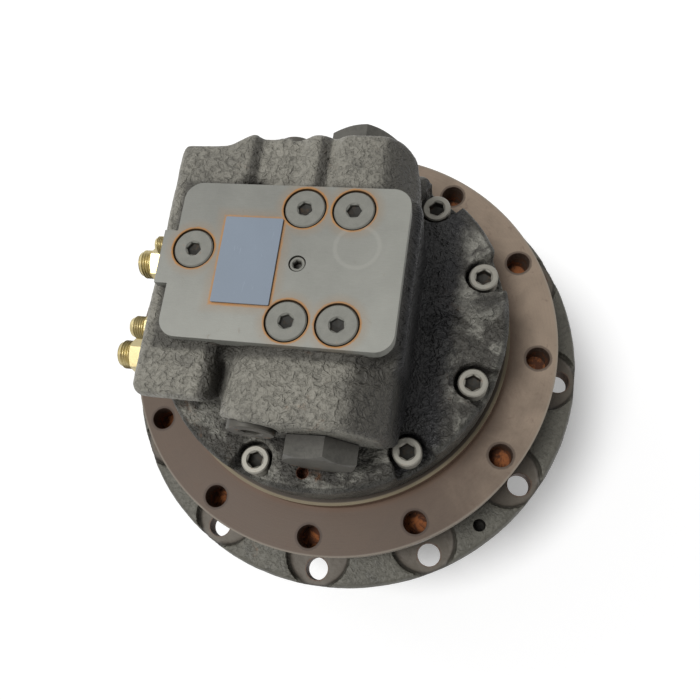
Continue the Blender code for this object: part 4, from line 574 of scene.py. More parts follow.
class Paint(Nodes):
    """A material with one shader, and a body colour that coats are laid on."""

    def __init__(self, name, roughness=0.5, specular=0.5):
        self.material = bpy.data.materials.new(name)
        super().__init__(self.material)
        self.shader = self.tree.nodes["Principled BSDF"]
        self.shader.inputs["Roughness"].default_value = roughness
        self.shader.inputs["Specular IOR Level"].default_value = specular
        self.place = self.node("ShaderNodeTexCoord", {}, {}, "Object")
        self.body = None

    def noise(self, size, detail=3.0, rough=0.5, twist=0.0, place=None):
        values = {"Vector": place or self.place, "Scale": 1 / size, "Detail": detail, "Roughness": rough,
                  "Distortion": twist}
        return self.node("ShaderNodeTexNoise", {}, values)

    def mixed(self, share, first, second):
        values = {0: share, 6: self.colour(first), 7: self.colour(second)}
        return self.node("ShaderNodeMix", {"data_type": "RGBA"}, values, 2)

    def lay(self, share, colour):
        """Lays a colour over the body's share that a mask gives."""
        self.body = self.mixed(share, self.body, colour)

    @staticmethod
    def colour(value):
        return value if isinstance(value, Value) else (*value, 1.0)

    def shaded(self, colour, amount):
        """A colour made lighter or darker by a value."""
        grey = self.node("ShaderNodeCombineColor", {}, [amount, amount, amount])
        values = {0: 1.0, 6: self.colour(colour), 7: grey}
        return self.node("ShaderNodeMix", {"data_type": "RGBA", "blend_type": "MULTIPLY"}, values, 2)

    def stretched(self, scale, turn=(0, 0, 0)):
        return self.node("ShaderNodeMapping", {}, {"Vector": self.place, "Scale": scale, "Rotation": turn})

    def axes(self):
        """The place along X, Y and Z."""
        split = self.node("ShaderNodeSeparateXYZ", {}, [self.place])
        return [Value(self, output) for output in split.socket.node.outputs]

    def lean(self):
        """How far a wall faces +X, from -1 to 1."""
        faced = self.node("ShaderNodeTexCoord", {}, {}, "Normal")
        return self.node("ShaderNodeSeparateXYZ", {}, [faced])

    def from_axis(self, x=0.0, y=0.0):
        """Distance from an upright line through a point."""
        across, along, _ = self.axes()
        return ((across - x) ** 2 + (along - y) ** 2) ** 0.5

    def nearest(self, places):
        """Distance from the nearest of several upright lines."""
        near = None
        for x, y in places:
            distance = self.from_axis(x, y)
            near = distance if near is None else near.least(distance)
        return near

    def edges(self):
        """More than a half on edges that stand out."""
        return self.node("ShaderNodeNewGeometry", {}, {}, "Pointiness")

    def hollows(self, reach):
        """0 on open surfaces, more where others stand near."""
        return 1 - self.node("ShaderNodeAmbientOcclusion", {"samples": 6}, {"Distance": reach}, "AO")

    def finish(self, roughness=None, metallic=None, height=None, depth=0.0005, strength=1.0):
        """Links the body colour and the rest to the shader, and returns the material."""
        fed = {"Base Color": self.body, "Roughness": roughness, "Metallic": metallic}
        if height is not None:
            relief = {"Strength": strength, "Distance": depth, "Height": height}
            fed["Normal"] = self.node("ShaderNodeBump", {}, relief, "Normal")
        for key, value in fed.items():
            if value is not None:
                self.feed(self.shader.inputs[key], value)
        return self.material


def dress(material, piece):
    piece.data.materials.clear()
    piece.data.materials.append(material)


def settings():
    return bpy.context.scene.final_drive


def casting_finish(name, base, rust_share=0.4, low=None, levels=(0.0, 1.0), gloss=0.50, grain_size=2.3 * MM,
                   worn_edges=False):
    """Sand-cast iron, oiled and handled: a wormy grain, painted shade in its hollows, and worn edges."""
    paint = Paint(name, specular=0.28)
    grain = paint.noise(0.9 * MM, 4.0, 0.65)
    worms = paint.noise(grain_size, 3.0, 0.50, 0.5)
    ridge = 1 - paint.noise(grain_size * 1.5, 2.0, 0.50, 0.6).apart(0.5) * 5
    cloud = paint.noise(34 * MM, 5.0, 0.62)
    blots = paint.noise(12 * MM, 6.0, 0.66, 0.5)
    if low:
        _, _, up = paint.axes()
        base = paint.mixed((up + (cloud - 0.5) * 16 * MM).between(*levels), low, base)
    pits = worms.between(0.50, 0.36)
    shade = 0.60 + cloud * 0.74 + (worms - 0.5) * 0.30 + (grain - 0.5) * 0.22 - pits * 0.10
    paint.body = paint.shaded(base, shade)
    dark = blots.between(0.50, 0.68) * 0.60
    paint.lay(dark, paint.shaded(base, 0.45))
    patch = paint.noise(24 * MM, 6.0, 0.68, 0.7).between(0.64 - rust_share * 0.16, 0.82 - rust_share * 0.12)
    fleck = paint.noise(2.6 * MM, 4.0, 0.7).between(0.46, 0.64)
    rusty = patch * (0.30 + fleck * 0.70)
    paint.lay(rusty * 0.70, settings().rust_colour)
    # Painted shade: the hollows darken where other surfaces stand near
    hollow = paint.hollows(15 * MM)
    paint.lay(hollow.between(0.10, 0.62) * 0.90, CREVICE_SHADE)
    if worn_edges:
        paint.lay(paint.edges().between(0.52, 0.58) * 0.35, paint.shaded(base, 1.5))
    sheen = gloss + (grain - 0.5) * 0.22 - dark * 0.16 + rusty * 0.28 + hollow * 0.2
    return paint, sheen, worms * 0.45 + ridge * 0.40 + grain * 0.22 - pits * 0.25


def plain_metal(name, base, roughness, metallic, tint, wear=0.25):
    """Bare steel with fine marks, a patchy tint and stains."""
    paint = Paint(name)
    fine = paint.noise(0.7 * MM, 3.0, 0.6)
    cloud = paint.noise(9 * MM, 4.0, 0.6)
    shade = 0.78 + cloud * 0.4 + (fine - 0.5) * 0.2
    paint.body = paint.mixed(cloud.between(0.50, 0.75) * wear, paint.shaded(base, shade), tint)
    gloss = roughness + (cloud - 0.5) * 0.25 + (fine - 0.5) * 0.1
    return paint.finish(gloss, metallic, fine * 0.6 + cloud * 0.4, 0.0001, 0.5)


def screw_finish(name, colour, rust_share=0.5, metallic=0.35, sockets=None):
    """Steel heads, rubbed bright on their faces, with painted shade in their hollows and sockets: the
    sockets' places, radius and level.
    """
    paint = Paint(name, specular=0.3)
    fine = paint.noise(0.7 * MM, 4.0, 0.65)
    cloud = paint.noise(4.5 * MM, 5.0, 0.65)
    paint.body = paint.shaded(colour, 0.76 + cloud * 0.48 + (fine - 0.5) * 0.25)
    rusty = cloud.between(0.66 - rust_share * 0.12, 0.80 - rust_share * 0.12)
    paint.lay(rusty * 0.45, settings().rust_colour)
    hollow = paint.hollows(5 * MM).between(0.30, 0.85)
    if sockets:
        places, reach, level = sockets
        _, _, up = paint.axes()
        within = paint.nearest(places).under(reach, reach + 0.3 * MM)
        hollow = hollow.most(within * up.under(level - 2.2 * MM, level - 0.7 * MM))
    # Painted shade in the sockets and hollows, mixed with dark rust
    paint.lay(hollow * 0.94, paint.mixed(cloud.between(0.5, 0.7), SOCKET_SHADE, SOCKET_RUST))
    gloss = 0.36 + cloud * 0.18 + rusty * 0.25 + hollow * 0.2
    return paint.finish(gloss, metallic, fine * 0.5 + cloud * 0.5, 0.00015, 0.6)


# What a user may change


LENGTH = {"unit": "LENGTH", "precision": 5}
COLOUR = {"subtype": "COLOR", "min": 0.0, "max": 1.0}


class FinalDriveSettings(bpy.types.PropertyGroup):
    """Sizes and colours that may be changed before the pieces are made."""

    voxel: bpy.props.FloatProperty(
        name="Cast skin grain", description="Edge length of a cast skin's faces", default=0.00125, min=0.0008,
        max=0.004, **LENGTH)
    cast_roughness: bpy.props.FloatProperty(
        name="Cast unevenness", description="Height of a cast skin's unevenness", default=0.00022, min=0.0,
        max=0.001, **LENGTH)
    block_colour: bpy.props.FloatVectorProperty(
        name="Block", description="Colour of the valve block's casting", default=(0.264, 0.252, 0.214),
        **COLOUR)
    disc_colour: bpy.props.FloatVectorProperty(
        name="Block base", description="Colour of the casting near its base", default=(0.068, 0.064, 0.055),
        **COLOUR)
    hub_colour: bpy.props.FloatVectorProperty(
        name="Hub", description="Colour of the hub's casting", default=(0.112, 0.107, 0.088), **COLOUR)
    flange_colour: bpy.props.FloatVectorProperty(
        name="Frame flange", description="Colour of the machined flange", default=(0.105, 0.076, 0.057),
        **COLOUR)
    face_colour: bpy.props.FloatVectorProperty(
        name="Machined face", description="Colour of the block's milled face", default=(0.285, 0.286, 0.256),
        **COLOUR)
    rust_colour: bpy.props.FloatVectorProperty(
        name="Rust", description="Colour of fresh rust", default=(0.330, 0.130, 0.040), **COLOUR)
    steel_colour: bpy.props.FloatVectorProperty(
        name="Screws", description="Colour of screws and plugs", default=(0.270, 0.258, 0.222), **COLOUR)
    zinc_colour: bpy.props.FloatVectorProperty(
        name="Fittings", description="Colour of the plated hose fittings", default=(0.520, 0.440, 0.230),
        **COLOUR)
    plate_colour: bpy.props.FloatVectorProperty(
        name="Plate", description="Colour of the bare plate", default=(0.235, 0.280, 0.340), **COLOUR)
    floor_colour: bpy.props.FloatVectorProperty(
        name="Floor", description="Colour of the floor", default=(0.96, 0.96, 0.96), **COLOUR)


# Pieces


class DRIVE_OT_block_casting(bpy.types.Operator):
    """Cast valve block with its round base, fused and rounded like sand-cast iron"""
    bl_idname = "drive.block_casting"
    bl_label = "Block casting"

    def execute(self, context):
        chosen = settings()
        disc = spun([(DISC_BORE, SEAT_LEVEL), (DISC_RADIUS, SEAT_LEVEL), (DISC_RADIUS, DISC_TOP - 1.5 * MM),
                     (DISC_RADIUS - 1.5 * MM, DISC_TOP), (DISC_BORE, DISC_TOP)], 144)
        holder = new_piece("disc_rim", disc, "frame_side")
        for turn in SCREW_TURNS:
            pocket = moved(rod(POCKET_RADIUS, *POCKET_LEVELS), (SCREW_CIRCLE, 0, 0))
            carve(holder, turned(pocket, math.radians(turn)))
        for turn in SCREW_TURNS:
            carve(holder, turned(cuboid(POCKET_MOUTH, POCKET_MOUTH_PLACE), math.radians(turn)))
        rim = shape_of(holder)
        bpy.data.objects.remove(holder, do_unlink=True)
        body = shape_of(NODES["valve_block"])
        bmesh.ops.remove_doubles(body, verts=body.verts, dist=MM / 200)
        spool = self.bore(SPOOL_BORE + MM, 0.060, 32)
        skin = cast_skin(joined(body, spool, rim), chosen.voxel, 4, chosen.cast_roughness, 3.2 * MM,
                         DISC_TOP + 2 * MM, 10)
        for corner in skin.verts:
            corner.co.z = min(corner.co.z, FACE_LEVEL - 4 * MM)
        piece = new_piece("block_casting", skin, "frame_side", 60.0)
        carve(piece, moved(rod(DISC_HOLE_RADIUS, DISC_TOP - 9 * MM, DISC_TOP + 9 * MM, 24), (*DISC_HOLE, 0)))
        carve(piece, self.bore(SPOOL_BORE, BORE_REACH, 48))
        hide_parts("valve_block")
        dress(self.iron(chosen), piece)
        return {"FINISHED"}

    @staticmethod
    def bore(radius, reach, segments):
        """A rod in the control spool's place."""
        laid = turned(rod(radius, -reach, reach, segments), math.pi / 2, "X")
        return moved(laid, (SPOOL_X, 0, SPOOL_LEVEL))

    @staticmethod
    def iron(chosen):
        """The casting's iron, with its darker base, painted light and shade on its walls, and an oily side
        that is partly painted shade.
        """
        # Darker towards the base: the base's own oily colour, and painted shade low on the walls
        paint, gloss, height = casting_finish("block_iron", chosen.block_colour, 0.4, chosen.disc_colour,
                                              (DISC_TOP + 6 * MM, FACE_LEVEL - 18 * MM), 0.46, 3.0 * MM, True)
        across, along, up = paint.axes()
        radius = paint.from_axis()
        uneven = (paint.noise(9 * MM, 5.0, 0.6) - 0.5) * 9 * MM
        on_base = up.under(DISC_TOP + MM, DISC_TOP + 8 * MM)
        near_base = up.under(DISC_TOP, DISC_TOP + 2 * MM)
        above = up.between(DISC_TOP + 3 * MM, DISC_TOP + 12 * MM)
        # Lighter rubbed patches on the base, partly painted highlights
        rubbed = paint.noise(20 * MM, 4.0, 0.6, 0.5).between(0.47, 0.60) * on_base
        paint.lay(rubbed * 0.75, paint.shaded(RUBBED_IRON_AND_HIGHLIGHT, 0.7 + height * 0.6))
        # Painted shade towards the right side, low on the walls
        right_side_shade = (across + uneven).between(0.012, 0.052) * up.between(DISC_TOP + MM, DISC_TOP + 8 * MM)
        paint.lay(right_side_shade * 0.48, SHADED_IRON)
        # Painted shade on walls that face +X
        paint.lay(paint.lean().between(0.06, 0.42) * above * 0.74, RIGHT_WALL_SHADE)
        # Painted light on walls that face -X
        paint.lay((0 - paint.lean()).between(0.05, 0.45) * above * 0.30, LEFT_WALL_LIGHT)
        # A darker band just outside the machined face
        past_face = across.apart(FACE_MIDDLE) - (FACE_RIGHT - FACE_LEFT) / 2
        past_face = past_face.most(along.apart(0.0) - FACE_HALF)
        border = (past_face + uneven * 0.12).under(3.0 * MM, 6.5 * MM)
        paint.lay(border * above * 0.70, FACE_BORDER_DARK)
        # Black oil with painted shade on the side to the right of the face, below its edge
        beside = (across + uneven * 0.5).between(FACE_RIGHT - MM, FACE_RIGHT + 4 * MM)
        beside = beside * (across + uneven).under(0.066, 0.078)
        oily = beside * up.under(FACE_LEVEL - 7 * MM, FACE_LEVEL - 4 * MM)
        paint.lay(oily * 0.95, BLACK_OIL_AND_SHADE)
        # Darker round the edge of the base
        rim = radius.between(DISC_RADIUS - 3.4 * MM, DISC_RADIUS - 2.2 * MM) * near_base
        paint.lay(rim * 0.72, BASE_EDGE_DARK)
        drilled = paint.from_axis(*DISC_HOLE).under(DISC_HOLE_RADIUS - 0.1 * MM, DISC_HOLE_RADIUS + 0.5 * MM)
        paint.lay(drilled * near_base, DRILLED_RUST)
        return paint.finish(gloss - oily * 0.12 - rubbed * 0.06, 0.06, height, 0.0019, 1.0)


class DRIVE_OT_machined_face(bpy.types.Operator):
    """Machined face on top of the block, with the recesses of its plugs"""
    bl_idname = "drive.machined_face"
    bl_label = "Machined face"

    def execute(self, context):
        bm = bmesh.new()
        bmesh.ops.create_grid(bm, x_segments=1, y_segments=1, size=0.5)
        size = (FACE_RIGHT - FACE_LEFT + 0.5 * MM, 2 * FACE_HALF + 0.5 * MM, 1)
        bmesh.ops.scale(bm, verts=bm.verts, vec=size)
        moved(bm, (FACE_MIDDLE, 0, FACE_LEVEL))
        bmesh.ops.bevel(bm, geom=list(bm.verts), affect="VERTICES", offset=FACE_CORNER, segments=8,
                        profile=0.5, material=-1)
        low = only(BMVert, bmesh.ops.extrude_face_region(bm, geom=list(bm.faces))["geom"])
        bmesh.ops.translate(bm, verts=low, vec=(0, 0, -FACE_DEPTH))
        bmesh.ops.recalc_face_normals(bm, faces=bm.faces)
        piece = new_piece("machined_face", bm, "frame_side")
        tab = cuboid((0.024, 2 * TAB_HALF, FACE_DEPTH), (TAB_LEFT + 0.0122, 0, FACE_LEVEL - FACE_DEPTH / 2))
        carve(piece, tab, "UNION")
        for x, y in PLUG_PLACES:
            recess = rod(PLUG_RECESS, FACE_LEVEL - PLUG_RECESS_DEPTH, FACE_LEVEL + MM, 64)
            carve(piece, moved(recess, (x, y, 0)))
        carve(piece, moved(rod(CENTRE_HOLE_RADIUS, FACE_LEVEL - 0.009, FACE_LEVEL + MM), CENTRE_HOLE))
        dress(self.iron(settings()), bevelled(piece, 0.45 * MM))
        return {"FINISHED"}

    @staticmethod
    def iron(chosen):
        """Milled iron with rust round the plugs and the plate, stains, and painted shade across one side and
        in its recesses.
        """
        paint = Paint("machined_iron")
        across, along, _ = paint.axes()
        strokes = paint.noise(1.0, 4.0, 0.6, 0.0, paint.stretched((260.0, 2600.0, 1.0)))
        fine = paint.noise(0.8 * MM, 3.0, 0.6)
        cloud = paint.noise(26 * MM, 5.0, 0.62, 0.3)
        ragged = paint.noise(2.6 * MM, 5.0, 0.7)
        shade = 0.82 + cloud * 0.38 + (strokes - 0.5) * 0.16 + (fine - 0.5) * 0.10
        # Painted shade: the face is darker towards +Y on its left part
        shade = shade - along.between(-0.040, 0.030) * across.under(0.0, 0.045) * 0.22 - 0.03
        paint.body = paint.shaded(chosen.face_colour, shade)
        near = paint.nearest(PLUG_PLACES) + (ragged - 0.5) * 1.5 * MM
        halo = near.under(PLUG_RECESS + 0.3 * MM, PLUG_RECESS + 1.3 * MM)
        warm = near.under(PLUG_RECESS + MM, PLUG_RECESS + 6 * MM)
        plate_low, plate_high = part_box("bare_plate")
        middle, half = (plate_low + plate_high) / 2, (plate_high - plate_low) / 2
        rim = (across.apart(middle.x) - half.x).most(along.apart(middle.y) - half.y)
        rim = rim + (ragged - 0.5) * 1.4 * MM
        line = rim.under(0.6 * MM, 1.9 * MM)
        paint.lay(warm.most(rim.under(1.5 * MM, 7 * MM)) * 0.26, WARM_STAIN)
        rust = paint.mixed(ragged, BRIGHT_RUST, chosen.rust_colour)
        paint.lay(halo.most(line) * (0.25 + cloud * 1.1), rust)
        ring_mark = paint.from_axis(*STAIN_PLACE).apart(STAIN_RADIUS) + (ragged - 0.5) * MM
        paint.lay(ring_mark.under(0.3 * MM, 1.6 * MM) * 0.14, PALE_STAIN)
        spots = paint.noise(7 * MM, 6.0, 0.72, 0.5).between(0.62, 0.74)
        paint.lay(spots * 0.40, BROWN_SPOT)
        # Painted shade in the face's recesses
        paint.lay(paint.hollows(4 * MM).between(0.25, 0.8) * 0.8, FACE_HOLLOW_SHADE)
        gloss = 0.44 + cloud * 0.12 + halo * 0.25 + (strokes - 0.5) * 0.1
        height = strokes * 0.5 + fine * 0.5 + spots * 0.4 + halo * ragged
        return paint.finish(gloss, 0.12, height, 0.00012, 0.6)


class DRIVE_OT_bare_plate(bpy.types.Operator):
    """Thin blank plate on the machined face"""
    bl_idname = "drive.bare_plate"
    bl_label = "Bare plate"

    def execute(self, context):
        low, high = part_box("bare_plate")
        bm = cuboid(high - low, (low + high) / 2)
        upright = [edge for edge in bm.edges if abs(edge.verts[0].co.z - edge.verts[1].co.z) > MM / 10]
        bmesh.ops.bevel(bm, geom=upright, affect="EDGES", offset=0.6 * MM, segments=3, profile=0.5,
                        material=-1)
        piece = bevelled(new_piece("blank_plate", bm, "frame_side"), 0.12 * MM)
        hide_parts("bare_plate")
        paint = Paint("plate_paint", specular=0.4)
        cloud = paint.noise(20 * MM, 3.0, 0.5)
        fine = paint.noise(1.2 * MM, 3.0, 0.6)
        scuffs = paint.noise(1.0, 3.0, 0.6, 0.4, paint.stretched((900.0, 140.0, 1.0), (0, 0, 0.5)))
        scuffs = scuffs.between(0.66, 0.72)
        shade = 0.94 + cloud * 0.12 + (fine - 0.5) * 0.04 + scuffs * 0.12
        paint.body = paint.shaded(settings().plate_colour, shade)
        dress(paint.finish(0.48 + cloud * 0.12 - scuffs * 0.1, 0.0, fine, 0.00005, 0.4), piece)
        return {"FINISHED"}


class DRIVE_OT_cover_screws(bpy.types.Operator):
    """Socket screws that hold the block's base to the spindle"""
    bl_idname = "drive.cover_screws"
    bl_label = "Cover screws"

    def execute(self, context):
        angles = [math.radians(turn) for turn in SCREW_TURNS]
        places = on_circle(angles, SCREW_CIRCLE)
        sockets = (places, 0.0046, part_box("cover_screw_1")[1].z)
        finish = screw_finish("cover_screw_steel", settings().steel_colour, 0.35, sockets=sockets)
        for number, (angle, (x, y)) in enumerate(zip(angles, places), 1):
            node = f"cover_screw_{number}"
            low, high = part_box(node)
            bm = socket_head(high.z - COVER_SCREW_HEAD, high.z, **COVER_SCREW, turn=angle + number * 0.35,
                             shank=(0.005, low.z))
            moved(bm, (x, y, 0))
            stand_in(node, f"cap_screw_{number}", bm, "frame_side", finish)
        return {"FINISHED"}


class DRIVE_OT_face_plugs(bpy.types.Operator):
    """Flush plugs of the machined face, and the small one in its middle"""
    bl_idname = "drive.face_plugs"
    bl_label = "Face plugs"

    def execute(self, context):
        sockets = (PLUG_PLACES, 0.0042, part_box("face_plug_1")[1].z)
        finish = screw_finish("face_plug_steel", FACE_PLUG_STEEL, 0.25, 0.1, sockets)
        for number, (x, y) in enumerate(PLUG_PLACES, 1):
            node = f"face_plug_{number}"
            low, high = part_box(node)
            bm = socket_head(high.z - 3 * MM, high.z, **FACE_PLUG, turn=number * 0.3, shank=(0.007, low.z),
                             segments=64)
            moved(bm, (x, y, 0))
            stand_in(node, f"flush_plug_{number}", bm, "frame_side", finish)
        low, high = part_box("centre_plug")
        middle = (low + high) / 2
        bm = socket_head(low.z, high.z, (high.x - low.x) / 2, 0.004, 0.004, 0.3 * MM, 0.3)
        moved(bm, (middle.x, middle.y, 0))
        stand_in("centre_plug", "middle_plug", bm, "frame_side", finish)
        return {"FINISHED"}


def across_spool(bm, side, x, level):
    """Lays a shape that was built along Z along the spool, one way or the other."""
    return moved(turned(bm, -side * math.pi / 2, "X"), (x, 0, level))


def ends_along_spool(node):
    """How far a piece's inner and outer ends are from the drive's middle along Y."""
    low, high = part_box(node)
    return sorted((abs(low.y), abs(high.y)))


class DRIVE_OT_spool_caps(bpy.types.Operator):
    """Hexagon caps that close the control spool's bore"""
    bl_idname = "drive.spool_caps"
    bl_label = "Spool caps"

    def execute(self, context):
        paint, gloss, height = casting_finish("cap_steel", CAP_STEEL, 0.1, gloss=0.40)
        finish = paint.finish(gloss, 0.15, height, 0.0001, 0.4)
        for number, (side, turn) in enumerate(zip((-1, 1), CAP_TURNS), 1):
            node = f"spool_cap_{number}"
            start, end = ends_along_spool(node)
            seat = start + CAP_SHANK
            head = turned(hexagon_body(CAP_FLATS, seat, end), math.radians(-side * turn - 30.0))
            bm = joined(head, rod(CAP_SHANK_RADIUS, seat - CAP_SHANK, seat + MM))
            across_spool(bm, side, SPOOL_X, SPOOL_LEVEL)
            stand_in(node, f"hexagon_cap_{number}", bm, "frame_side", finish, 25.0)
        return {"FINISHED"}


class DRIVE_OT_relief_plugs(bpy.types.Operator):
    """Socket plugs of the two relief valves"""
    bl_idname = "drive.relief_plugs"
    bl_label = "Relief plugs"

    def execute(self, context):
        finish = screw_finish("relief_plug_steel", RELIEF_STEEL, 0.6, 0.2)
        for number, side in enumerate((-1, 1), 1):
            node = f"relief_plug_{number}"
            start, end = ends_along_spool(node)
            bm = socket_head(end - RELIEF_PLUG_HEAD, end, **RELIEF_PLUG, turn=0.2, shank=(0.0087, start))
            across_spool(bm, side, RELIEF_X, RELIEF_LEVEL)
            stand_in(node, f"valve_plug_{number}", bm, "frame_side", finish)
        return {"FINISHED"}


class DRIVE_OT_hose_fittings(bpy.types.Operator):
    """Plated hose fittings with hexagons, threads and bores"""
    bl_idname = "drive.hose_fittings"
    bl_label = "Hose fittings"

    def execute(self, context):
        finish = plain_metal("yellow_zinc_plating", settings().zinc_colour, 0.30, 0.85, WORN_ZINC, 0.6)
        for number, size in enumerate(FITTINGS, 1):
            thread, flats, hex_length, bore, shank, pitch = FITTING_SIZES[size]
            node = f"hose_fitting_{number}"
            low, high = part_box(node)
            tip = PORT_WALL - low.x
            base = -0.5 * MM
            hexagon = hexagon_body(flats, base, base + hex_length, 0.5, 48, True)
            along = base + hex_length + MM
            points = [(shank, FITTING_END), (shank, base + MM), (thread * 0.86, base + MM),
                      (thread * 0.86, along)]
            while along < tip - 2.0 * MM:
                points += [(thread, along + pitch * 0.45), (thread, along + pitch * 0.55),
                           (thread * 0.90, along + pitch * 0.95)]
                along += pitch
            points += [(thread * 0.88, tip - MM), (thread * 0.80, tip), (bore * 1.5, tip),
                       (bore, tip - 3 * MM), (bore, base + hex_length), (0.05 * MM, base + hex_length),
                       (0.05 * MM, FITTING_END)]
            bm = joined(turned(hexagon, math.radians(FITTING_TURN)), spun(points, 40))
            moved(turned(bm, -math.pi / 2, "Y"), (PORT_WALL, (low.y + high.y) / 2, (low.z + high.z) / 2))
            stand_in(node, f"hose_stub_{number}", bm, "frame_side", finish, 30.0)
        return {"FINISHED"}


class DRIVE_OT_frame_flange(bpy.types.Operator):
    """Machined spindle with the frame flange and its bolt holes"""
    bl_idname = "drive.frame_flange"
    bl_label = "Frame flange"

    def execute(self, context):
        holes = evenly(FRAME_HOLES, FRAME_CIRCLE)
        screws = on_circle([math.radians(turn) for turn in SCREW_TURNS], SCREW_CIRCLE)
        piece = new_piece("spindle_flange", spun(SPINDLE_STEPS, 180), "frame_side", 30.0)
        carve(piece, repeated(holes, lambda: rod(FRAME_HOLE_RADIUS, FRAME_UNDERSIDE + HOLE_FLOOR, 0.156, 48)))
        carve(piece, repeated(screws, lambda: rod(0.0053, SPIGOT_LEVEL - 0.015, SPIGOT_LEVEL + MM, 24)))
        bevelled(piece, 0.6 * MM, 50.0)
        pins = repeated(evenly(PIN_COUNT, PIN_ORBIT), lambda: rod(PIN_RADIUS, PIN_LOW, SPINDLE_LOW.z + MM))
        whole = joined(shape_of(piece), pins)
        whole.to_mesh(piece.data)
        whole.free()
        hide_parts("spindle")
        dress(self.steel(settings(), holes), piece)
        return {"FINISHED"}

    @staticmethod
    def steel(chosen, holes):
        """Turned steel, brown with age, with rusty holes; painted light on one side, painted shade near the
        spigot, deep in the holes and in hollows, and a painted highlight on the spigot's edge.
        """
        paint = Paint("flange_steel", specular=0.25)
        radius = paint.from_axis()
        across, along, up = paint.axes()
        lathe = paint.node("ShaderNodeTexNoise", {"noise_dimensions": "1D"},
                           {"W": radius * 1800.0, "Scale": 1.0, "Detail": 3.0})
        fine = paint.noise(0.9 * MM, 4.0, 0.65)
        cloud = paint.noise(24 * MM, 5.0, 0.65, 0.4)
        blots = paint.noise(6 * MM, 5.0, 0.7, 0.6)
        shade = 0.70 + cloud * 0.58 + (lathe - 0.5) * 0.16 + (fine - 0.5) * 0.14
        paint.body = paint.shaded(chosen.flange_colour, shade)
        # Painted light on the side towards +X and +Y
        lit_side = (across * 0.8 + along * 0.35 + (cloud - 0.5) * 50 * MM).between(0.01, 0.11)
        paint.lay(lit_side * 0.78, paint.shaded(FLANGE_LIT_SIDE, shade))
        # Painted shade near the spigot
        paint.lay((radius + (cloud - 0.5) * 10 * MM).under(0.104, 0.122) * 0.55, FLANGE_INNER_SHADE)
        paint.lay(radius.between(0.1318, 0.1328) * 0.6, FLANGE_EDGE)
        paint.lay(blots.between(0.57, 0.74) * 0.40, FLANGE_BLOTS)
        near = paint.nearest(holes) + (blots - 0.5) * 1.6 * MM
        inside = near.under(6.7 * MM, 7.2 * MM)
        # Rust in the holes, with painted shade deeper down
        bottom = up.under(FRAME_UNDERSIDE + 4 * MM, FRAME_FACE - 3 * MM)
        rusty = paint.mixed(blots.between(0.42, 0.58), HOLE_RUST, HOLE_DARK_RUST)
        paint.lay(inside * 0.95, paint.mixed(bottom, HOLE_DEPTH_SHADE, rusty))
        paint.lay(near.apart(7.4 * MM).under(0.3 * MM, 1.3 * MM) * 0.7, HOLE_MOUTH)
        paint.lay((radius + (fine - 0.5) * 2 * MM).under(0.1040, 0.1085) * 0.45, SPIGOT_RUST)
        # Painted shade on the spigot's top beside the base, and a painted highlight on its outer edge
        crest = up.between(SPIGOT_LEVEL - 2.5 * MM, SPIGOT_LEVEL - 0.5 * MM)
        paint.lay(crest * 0.85, paint.mixed(radius.between(0.1020, 0.1028), SPIGOT_SHADE, SPIGOT_HIGHLIGHT))
        # Painted shade in the hollows
        paint.lay(paint.hollows(8 * MM).between(0.35, 0.95) * 0.75, FLANGE_HOLLOW_SHADE)
        gloss = 0.44 + cloud * 0.16 + inside * 0.3 + (lathe - 0.5) * 0.12
        return paint.finish(gloss, 0.12, lathe * 0.6 + fine * 0.3 + blots * 0.3, 0.00012, 0.6)


